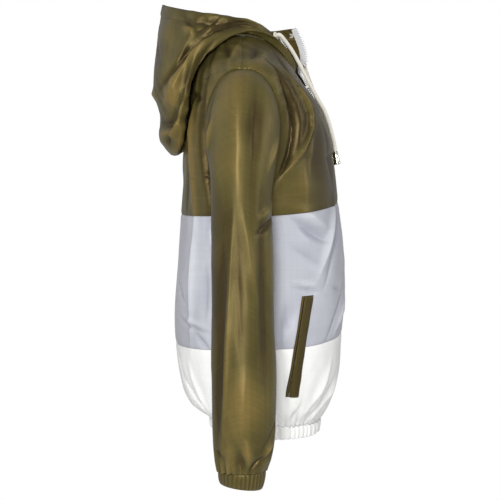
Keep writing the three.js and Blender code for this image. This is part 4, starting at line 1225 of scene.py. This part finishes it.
def eyelet_place(name):
    """The middle of an eyelet and the way it faces, on the form of the hood."""
    side = SIDES[name]
    start = float(edge_turn(ROW["neck"]))
    turn = np.array([start + (math.pi - start) * EYELET["along"]])
    up, e = np.array([EYELET["up"]]), 1e-3
    p = hood(side, turn, up)[0]
    round_it = hood(side, turn + e, up)[0] - hood(side, turn - e, up)[0]
    rise = hood(side, turn, up + e)[0] - hood(side, turn, up - e)[0]
    return p, unit(np.cross(round_it, rise)) * side


def cord_line(name):
    """The cord's centre line: out of the eyelet, then through its listed points as a curve."""
    p, out = eyelet_place(name)
    route = np.array([p + out * CORD_START, p + out * CORD_LEAD, *CORD_ROUTE[name]], float)
    steps = 5
    return along(route, np.linspace(0, len(route) - 1, steps * (len(route) - 1) + 1))


def tube(line, radius, sides=20):
    """A round tube: a circle carried along a line, square to it and without twist."""
    ahead = unit(np.gradient(line, axis=0))
    side = unit(np.cross(ahead, np.array([0, 0, 1.0])))
    over = np.cross(side, ahead)
    angle = np.linspace(0, 2 * math.pi, sides, endpoint=False)[None, :, None]
    radius = np.broadcast_to(radius, (len(line),))[:, None, None]
    out = side[:, None] * np.cos(angle) + over[:, None] * np.sin(angle)
    return line[:, None] + out * radius, out


def frame_round(axis):
    """Two directions square to an axis and to each other."""
    first = unit(np.cross(axis, np.array([0.3, 0.1, 1.0])))
    return first, np.cross(axis, first)


def lathe(profile, base, axis, sides=48):
    """A closed shape turned round an axis: profile lists (radius, distance along the axis)."""
    profile = np.asarray(profile, float)
    a, b = frame_round(axis)
    angle = np.linspace(0, 2 * math.pi, sides, endpoint=False)[None, :, None]
    out = a * np.cos(angle) + b * np.sin(angle)
    points = base + axis * profile[:, 1, None, None] + out * profile[:, 0, None, None]
    return points, out + 0 * points


def add_eyelets():
    for name in SIDES:
        p, out = eyelet_place(name)
        t = np.linspace(0, 2 * math.pi, 22, endpoint=False)
        middle = (EYELET["outer"] + EYELET["hole"]) / 2
        half = (EYELET["outer"] - EYELET["hole"]) / 2
        profile = np.stack([middle + half * np.cos(t), 0.9 + 1.0 * np.sin(t)], axis=-1)
        ring, facing = lathe(profile, p + out * 0.9, out)
        direction = facing * np.cos(t)[:, None, None] + out * np.sin(t)[:, None, None]
        piece = grid_object(
            f"eyelet_ring_{name}", ring, mat("eyelet"), direction, is_round=True, wall=0, closed_rows=True,
        )
        dress(piece, f"eyelet_{name}")


CORD_END_PROFILE = [  # radius and distance of the bell that the cord ends in
    (0.01, 0), (2.3, 0), (2.9, 0.3), (3.2, 1.0), (3.2, 2.2), (2.95, 2.6), (2.95, 3.2), (3.2, 3.6), (3.25, 6),
    (3.45, 9), (3.8, 12.5), (4.15, 15.2), (4.45, 16.6), (4.45, 17.3), (4.1, 17.9), (3.6, 17.9), (3.3, 17.2),
    (2.9, 14.5), (0.01, 13.8),
]


def add_drawcords():
    for name in SIDES:
        line = cord_line(name)
        points, out = tube(line, CORD_RADIUS)
        cap_in, cap_out = line[:1, None] + 0 * points[:1], line[-1:, None] + 0 * points[-1:]
        points = np.concatenate([cap_in, points, cap_out])
        out = np.concatenate([out[:1], out, out[-1:]])
        piece = grid_object(f"braided_drawcord_{name}", points, mat("cord"), out, is_round=True, wall=0)
        down = unit(line[-1] - line[-3])
        bell, facing = lathe(CORD_END_PROFILE, line[-1] - down * 0.4, down)
        end = grid_object(f"bell_cord_end_{name}", bell, mat("metal"), facing, is_round=True, wall=0)
        dress(end, f"cord_end_{name}")
        dress(piece, f"drawcord_{name}")
        tuple(line[0] * MM)
        (line * MM).tolist()


# ---------------------------------------------------------------- zip

TOOTH = {"pitch": 3.1, "long": 1.7, "half_wide": 1.9, "half_thick": 1.35, "inward": 7.5, "sunk": 2.4}
ZIP_START, ZIP_STOP = 12, 2  # the chain's ends, from the hem and from the top of the collar
ZIP_FINISHES = {
    "zip_tape_right": "tape", "zip_tape_left": "tape", "zip_box": "plastic", "zip_slider": "plastic",
    "zip_pull": "plastic",
}


def edge_line(side):
    """Points up one front edge from the hem to the top of the collar, and the frame at each:
    across points to the middle, and out of the cloth."""
    rows = np.linspace(ROW["hem"], ROW["neck"], 400)
    turn, e = edge_turn(rows), 1e-3
    p = body(side, turn, rows)
    across = unit(body(side, turn - e, rows) - body(side, turn + e, rows))
    out = body_normal(side, turn, rows)
    up = np.linspace(0, 1, 70)[8:]
    start = np.full(up.shape, float(edge_turn(ROW["neck"])))
    hp = hood(side, start, up)
    round_it = hood(side, start + e, up) - hood(side, start - e, up)
    rise = unit(hood(side, start, up) - hood(side, start, up - e))
    hood_out = unit(np.cross(round_it, rise)) * side
    hood_across = unit(np.cross(hood_out, rise))
    hood_across *= np.sign(-(hood_across * round_it).sum(axis=1))[:, None]
    return (
        np.concatenate([p, hp]), np.concatenate([across, hood_across]), np.concatenate([out, hood_out]),
    )


def edge_at(side, lengths):
    """The front edge's frames at given lengths up from the hem."""
    p, across, out = edge_line(side)
    run = run_along(p)
    p, across, out = (between(lengths, run, values) for values in (p, across, out))
    return p, unit(across), unit(out), run[-1]


def blocks(centres, a, b, c, half):
    """Many small chamfered blocks as one mesh: centres, three directions and three half sizes."""
    shape = []
    for z, inset in ((-1, 0.72), (-0.6, 1), (0.6, 1), (1, 0.72)):
        for x, y in ((-1, -1), (1, -1), (1, 1), (-1, 1)):
            shape.append((x * inset, y * inset, z))
    shape = np.array(shape) * np.array(half)
    points = (
        centres[:, None] + a[:, None] * shape[None, :, 0, None] + b[:, None] * shape[None, :, 1, None]
        + c[:, None] * shape[None, :, 2, None]
    )
    faces = [(3, 2, 1, 0), (12, 13, 14, 15)]
    for k in (0, 4, 8):
        faces += [(k + i, k + (i + 1) % 4, k + 4 + (i + 1) % 4, k + 4 + i) for i in range(4)]
    faces = np.array(faces)
    whole = (faces[None] + 16 * np.arange(len(centres))[:, None, None]).reshape(-1, 4)
    return points.reshape(-1, 3), whole


def blocks_object(name, centres, a, b, c, half, material):
    points, faces = blocks(centres, a, b, c, half)
    mesh = bpy.data.meshes.new(name)
    mesh.from_pydata((points * MM).tolist(), [], faces.tolist())
    piece = finished(name, mesh, material)
    piece.data.polygons.foreach_set("use_smooth", np.zeros(len(mesh.polygons), bool))
    return piece


def add_zip():
    """Moulded teeth along both edges, and the finish of the tapes, the box, the slider and its pull."""
    half = (TOOTH["half_wide"], TOOTH["long"] / 2, TOOTH["half_thick"])
    for name, side in SIDES.items():
        total = edge_at(side, np.array([0.0]))[3]
        shift = 0 if side < 0 else TOOTH["pitch"] / 2
        lengths = np.arange(ZIP_START + shift, total - ZIP_STOP, TOOTH["pitch"])
        p, across, out, _ = edge_at(side, lengths)
        rise = unit(np.gradient(p, axis=0))
        centres = p + across * TOOTH["inward"] - out * TOOTH["sunk"]
        piece = blocks_object(f"zip_teeth_{name}", centres, across, rise, out, half, mat("plastic"))
        dress(piece, f"zip_chain_{name}")
    for node, finish in ZIP_FINISHES.items():
        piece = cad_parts[node]
        piece.data.materials.clear()
        piece.data.materials.append(mat(finish))


# ---------------------------------------------------------------- stitching

STITCH = {"long": 2.3, "pitch": 3.1, "wide": 0.45, "high": 0.28, "from_zip": 3.2}


def stitch_row(name, line, normals, material):
    """A row of stitches along a line on the cloth: small rounded bars laid end to end."""
    run = run_along(line)
    at = np.arange(STITCH["pitch"], run[-1] - STITCH["pitch"], STITCH["pitch"])
    centres = between(at, run, line)
    out = unit(between(at, run, normals))
    ahead = unit(np.gradient(centres, axis=0))
    across = np.cross(out, ahead)
    piece = blocks_object(
        name, centres + out * 0.1, across, ahead, out,
        (STITCH["wide"] / 2, STITCH["long"] / 2, STITCH["high"]), material,
    )
    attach(piece, BODY)
    return piece


def add_stitching():
    olive, white = mat("thread_olive"), mat("thread_white")
    for name, side in SIDES.items():
        p, n, _, from_edge = hood_grid(side)
        row = np.abs(from_edge - CASING_SEAM).argmin(axis=0)
        columns = np.arange(p.shape[1])
        stitch_row(f"stitch_hood_casing_{name}", p[row, columns], n[row, columns], olive)
        for band, said in BANDS.items():
            rows, material = said["rows"]()[2:-2], olive if band == "upper" else white
            line, normals, _ = body_skin(side, edge_turn(rows) + STITCH["from_zip"] / half_width(rows), rows)
            stitch_row(f"stitch_zip_{band}_{name}", line, normals, material)
        turn = np.linspace(float(edge_turn(ROW["hem_top"])) + 0.03, math.pi, 300)
        line, normals, _ = body_skin(side, turn, np.full(turn.shape, ROW["hem_top"] + 0.09))
        stitch_row(f"stitch_hem_{name}", line, normals, white)


# ---------------------------------------------------------------- stage

FLOOR = {"half": 3.7, "z": -1.6}
ROOM_LIGHT = 0.42
LAMPS = {  # where each stands, what it aims at, its width and its power
    "key": ((-2.3, 0.25, 0.25), (-0.1, 0, -0.35), 0.7, 44),
    "fill": ((-0.5, -2.3, 0.3), (-0.1, 0, -0.35), 0.9, 10),
    "back": ((-0.2, 2.4, 0.9), (0, 0, -0.3), 2.2, 9),
}
CAMERA = {"away": 2.2, "y": -0.010, "z": -0.130, "look_z": -0.3004, "field": 0.710}


def add_camera():
    """Stands level with the chest on the wearer's right and looks along +x, tilted down a little."""
    data = bpy.data.cameras.new("camera")
    data.sensor_width = 36
    data.lens = data.sensor_width * CAMERA["away"] / CAMERA["field"]
    camera = bpy.data.objects.new("camera", data)
    camera.location = (-CAMERA["away"], CAMERA["y"], CAMERA["z"])
    look = Vector((0, CAMERA["y"], CAMERA["look_z"])) - camera.location
    camera.rotation_euler = look.to_track_quat("-Z", "Y").to_euler()
    bpy.context.scene.collection.objects.link(camera)
    bpy.context.scene.camera = camera


def area_light(name, place, aim, size, power):
    data = bpy.data.lights.new(name, "AREA")
    data.shape, data.size, data.energy = "DISK", size, power
    light = bpy.data.objects.new(name, data)
    light.location = place
    light.rotation_euler = (Vector(aim) - Vector(place)).to_track_quat("-Z", "Y").to_euler()
    bpy.context.scene.collection.objects.link(light)


def add_stage():
    """A plain pale floor far under the jacket, a pale room and soft lamps."""
    scene = bpy.context.scene
    scene.view_settings.view_transform = "Standard"
    mesh = bpy.data.meshes.new("floor")
    square = ((-1, -1), (1, -1), (1, 1), (-1, 1))
    corners = [(x * FLOOR["half"], y * FLOOR["half"], FLOOR["z"]) for x, y in square]
    mesh.from_pydata(corners, [], [(0, 1, 2, 3)])
    floor = bpy.data.objects.new("floor", mesh)
    scene.collection.objects.link(floor)
    material, _, _ = shader("floor_paper", Roughness=0.9, Base_Color=(0.86, 0.86, 0.86, 1))
    floor.data.materials.append(material)

    world = bpy.data.worlds.new("room")
    scene.world = world
    world.use_nodes = True
    tree = world.node_tree
    room, seen = tree.nodes["Background"], tree.nodes.new("ShaderNodeBackground")
    for background, strength in ((room, ROOM_LIGHT), (seen, 1.0)):
        background.inputs["Color"].default_value = (1, 1, 1, 1)
        background.inputs["Strength"].default_value = strength
    path = tree.nodes.new("ShaderNodeLightPath")
    mix = tree.nodes.new("ShaderNodeMixShader")
    for socket, entry in ((path.outputs["Is Camera Ray"], 0), (room.outputs[0], 1), (seen.outputs[0], 2)):
        tree.links.new(socket, mix.inputs[entry])
    tree.links.new(mix.outputs[0], tree.nodes["World Output"].inputs[0])

    for name, said in LAMPS.items():
        area_light(name, *said)


# ---------------------------------------------------------------- the add-on

def colour_property(name, description, default):
    return bpy.props.FloatVectorProperty(
        name=name, description=description, default=default, subtype="COLOR", size=3, min=0, max=1,
    )


class JacketColours(bpy.types.PropertyGroup):
    """The colours of the cloths and trims."""

    olive: colour_property("Olive", "Shell cloth of the upper body, sleeves and hood", (0.072, 0.061, 0.019))
    # the ridge colours are painted highlight and the trough colours painted shade; the dark olive also
    # colours the olive thread, and the shaded white the white thread and the zip tape's rib grooves
    olive_highlight: colour_property("Olive, light", "Olive cloth on a ridge", (0.155, 0.110, 0.034))
    olive_shade_and_thread: colour_property("Olive, dark", "Olive cloth in a trough", (0.028, 0.020, 0.008))
    grey: colour_property("Grey", "Satin of the middle band", (0.45, 0.46, 0.51))
    grey_highlight: colour_property("Grey, light", "Satin on a ridge", (0.68, 0.69, 0.74))
    grey_shade: colour_property("Grey, dark", "Satin in a trough", (0.28, 0.29, 0.35))
    white: colour_property("White", "Cloth of the lower band", (0.88, 0.88, 0.86))
    white_shade_and_thread: colour_property("White, shaded", "White cloth in a trough", (0.62, 0.63, 0.66))
    zip_white: colour_property("Zip white", "Zip teeth, slider and box", (0.86, 0.86, 0.86))
    ivory: colour_property("Ivory", "Drawcord and eyelets", (0.84, 0.80, 0.70))
    metal: colour_property("Metal", "Cord ends", (0.72, 0.70, 0.58))


class JACKET_OT_camera(bpy.types.Operator):
    """Set up the camera"""

    bl_idname = "jacket.camera"
    bl_label = "Camera"

    def execute(self, context):
        add_camera()
        return {"FINISHED"}


class JACKET_OT_drawcords(bpy.types.Operator):
    """Make the two free ends of the drawcord and their bells"""

    bl_idname = "jacket.drawcords"
    bl_label = "Drawcords"

    def execute(self, context):
        add_drawcords()
        return {"FINISHED"}


class JACKET_OT_body(bpy.types.Operator):
    """Make the nine body panels"""

    bl_idname = "jacket.body"
    bl_label = "Body panels"

    def execute(self, context):
        add_body_panels()
        return {"FINISHED"}


class JACKET_OT_hem(bpy.types.Operator):
    """Make the elastic hem casing"""

    bl_idname = "jacket.hem"
    bl_label = "Hem casing"

    def execute(self, context):
        add_hem_band()
        return {"FINISHED"}


class JACKET_OT_sleeves(bpy.types.Operator):
    """Make the two sleeves"""

    bl_idname = "jacket.sleeves"
    bl_label = "Sleeves"

    def execute(self, context):
        add_sleeves()
        return {"FINISHED"}


class JACKET_OT_cuffs(bpy.types.Operator):
    """Make the two elastic cuffs"""

    bl_idname = "jacket.cuffs"
    bl_label = "Cuffs"

    def execute(self, context):
        add_cuffs()
        return {"FINISHED"}


class JACKET_OT_hood(bpy.types.Operator):
    """Make the two halves of the hood"""

    bl_idname = "jacket.hood"
    bl_label = "Hood"

    def execute(self, context):
        add_hood()
        return {"FINISHED"}


class JACKET_OT_pockets(bpy.types.Operator):
    """Make the pocket welts and their facings"""

    bl_idname = "jacket.pockets"
    bl_label = "Pockets"

    def execute(self, context):
        add_pockets()
        return {"FINISHED"}


class JACKET_OT_eyelets(bpy.types.Operator):
    """Make the two eyelets"""

    bl_idname = "jacket.eyelets"
    bl_label = "Eyelets"

    def execute(self, context):
        add_eyelets()
        return {"FINISHED"}


class JACKET_OT_zip(bpy.types.Operator):
    """Make the zip's teeth and finish its slider, box and tapes"""

    bl_idname = "jacket.zip"
    bl_label = "Zip"

    def execute(self, context):
        add_zip()
        return {"FINISHED"}


class JACKET_OT_stitching(bpy.types.Operator):
    """Make the rows of stitches"""

    bl_idname = "jacket.stitching"
    bl_label = "Stitching"

    def execute(self, context):
        add_stitching()
        return {"FINISHED"}


class JACKET_OT_stage(bpy.types.Operator):
    """Make the floor, the room and the lamps"""

    bl_idname = "jacket.stage"
    bl_label = "Stage"

    def execute(self, context):
        add_stage()
        return {"FINISHED"}


OPERATORS = [
    JACKET_OT_camera, JACKET_OT_drawcords, JACKET_OT_body, JACKET_OT_hem, JACKET_OT_sleeves, JACKET_OT_cuffs,
    JACKET_OT_hood, JACKET_OT_pockets, JACKET_OT_eyelets, JACKET_OT_zip, JACKET_OT_stitching, JACKET_OT_stage,
]


class JACKET_PT_panel(bpy.types.Panel):
    """Lists the steps that make the windbreaker"""

    bl_idname = "JACKET_PT_panel"
    bl_label = "Windbreaker"
    bl_space_type = "VIEW_3D"
    bl_region_type = "UI"
    bl_category = "Windbreaker"

    def draw(self, context):
        colours = context.scene.jacket_colours
        for name in JacketColours.__annotations__:
            self.layout.prop(colours, name)
        for operator in OPERATORS:
            self.layout.operator(operator.bl_idname)


CLASSES = [JacketColours, *OPERATORS, JACKET_PT_panel]


def register():
    for each in CLASSES:
        bpy.utils.register_class(each)
    bpy.types.Scene.jacket_colours = bpy.props.PointerProperty(type=JacketColours)


def unregister():
    del bpy.types.Scene.jacket_colours
    for each in reversed(CLASSES):
        bpy.utils.unregister_class(each)


def main():
    register()
    for operator in OPERATORS:
        group, name = operator.bl_idname.split(".")
        getattr(getattr(bpy.ops, group), name)()


if __name__ == "__main__":
    main()
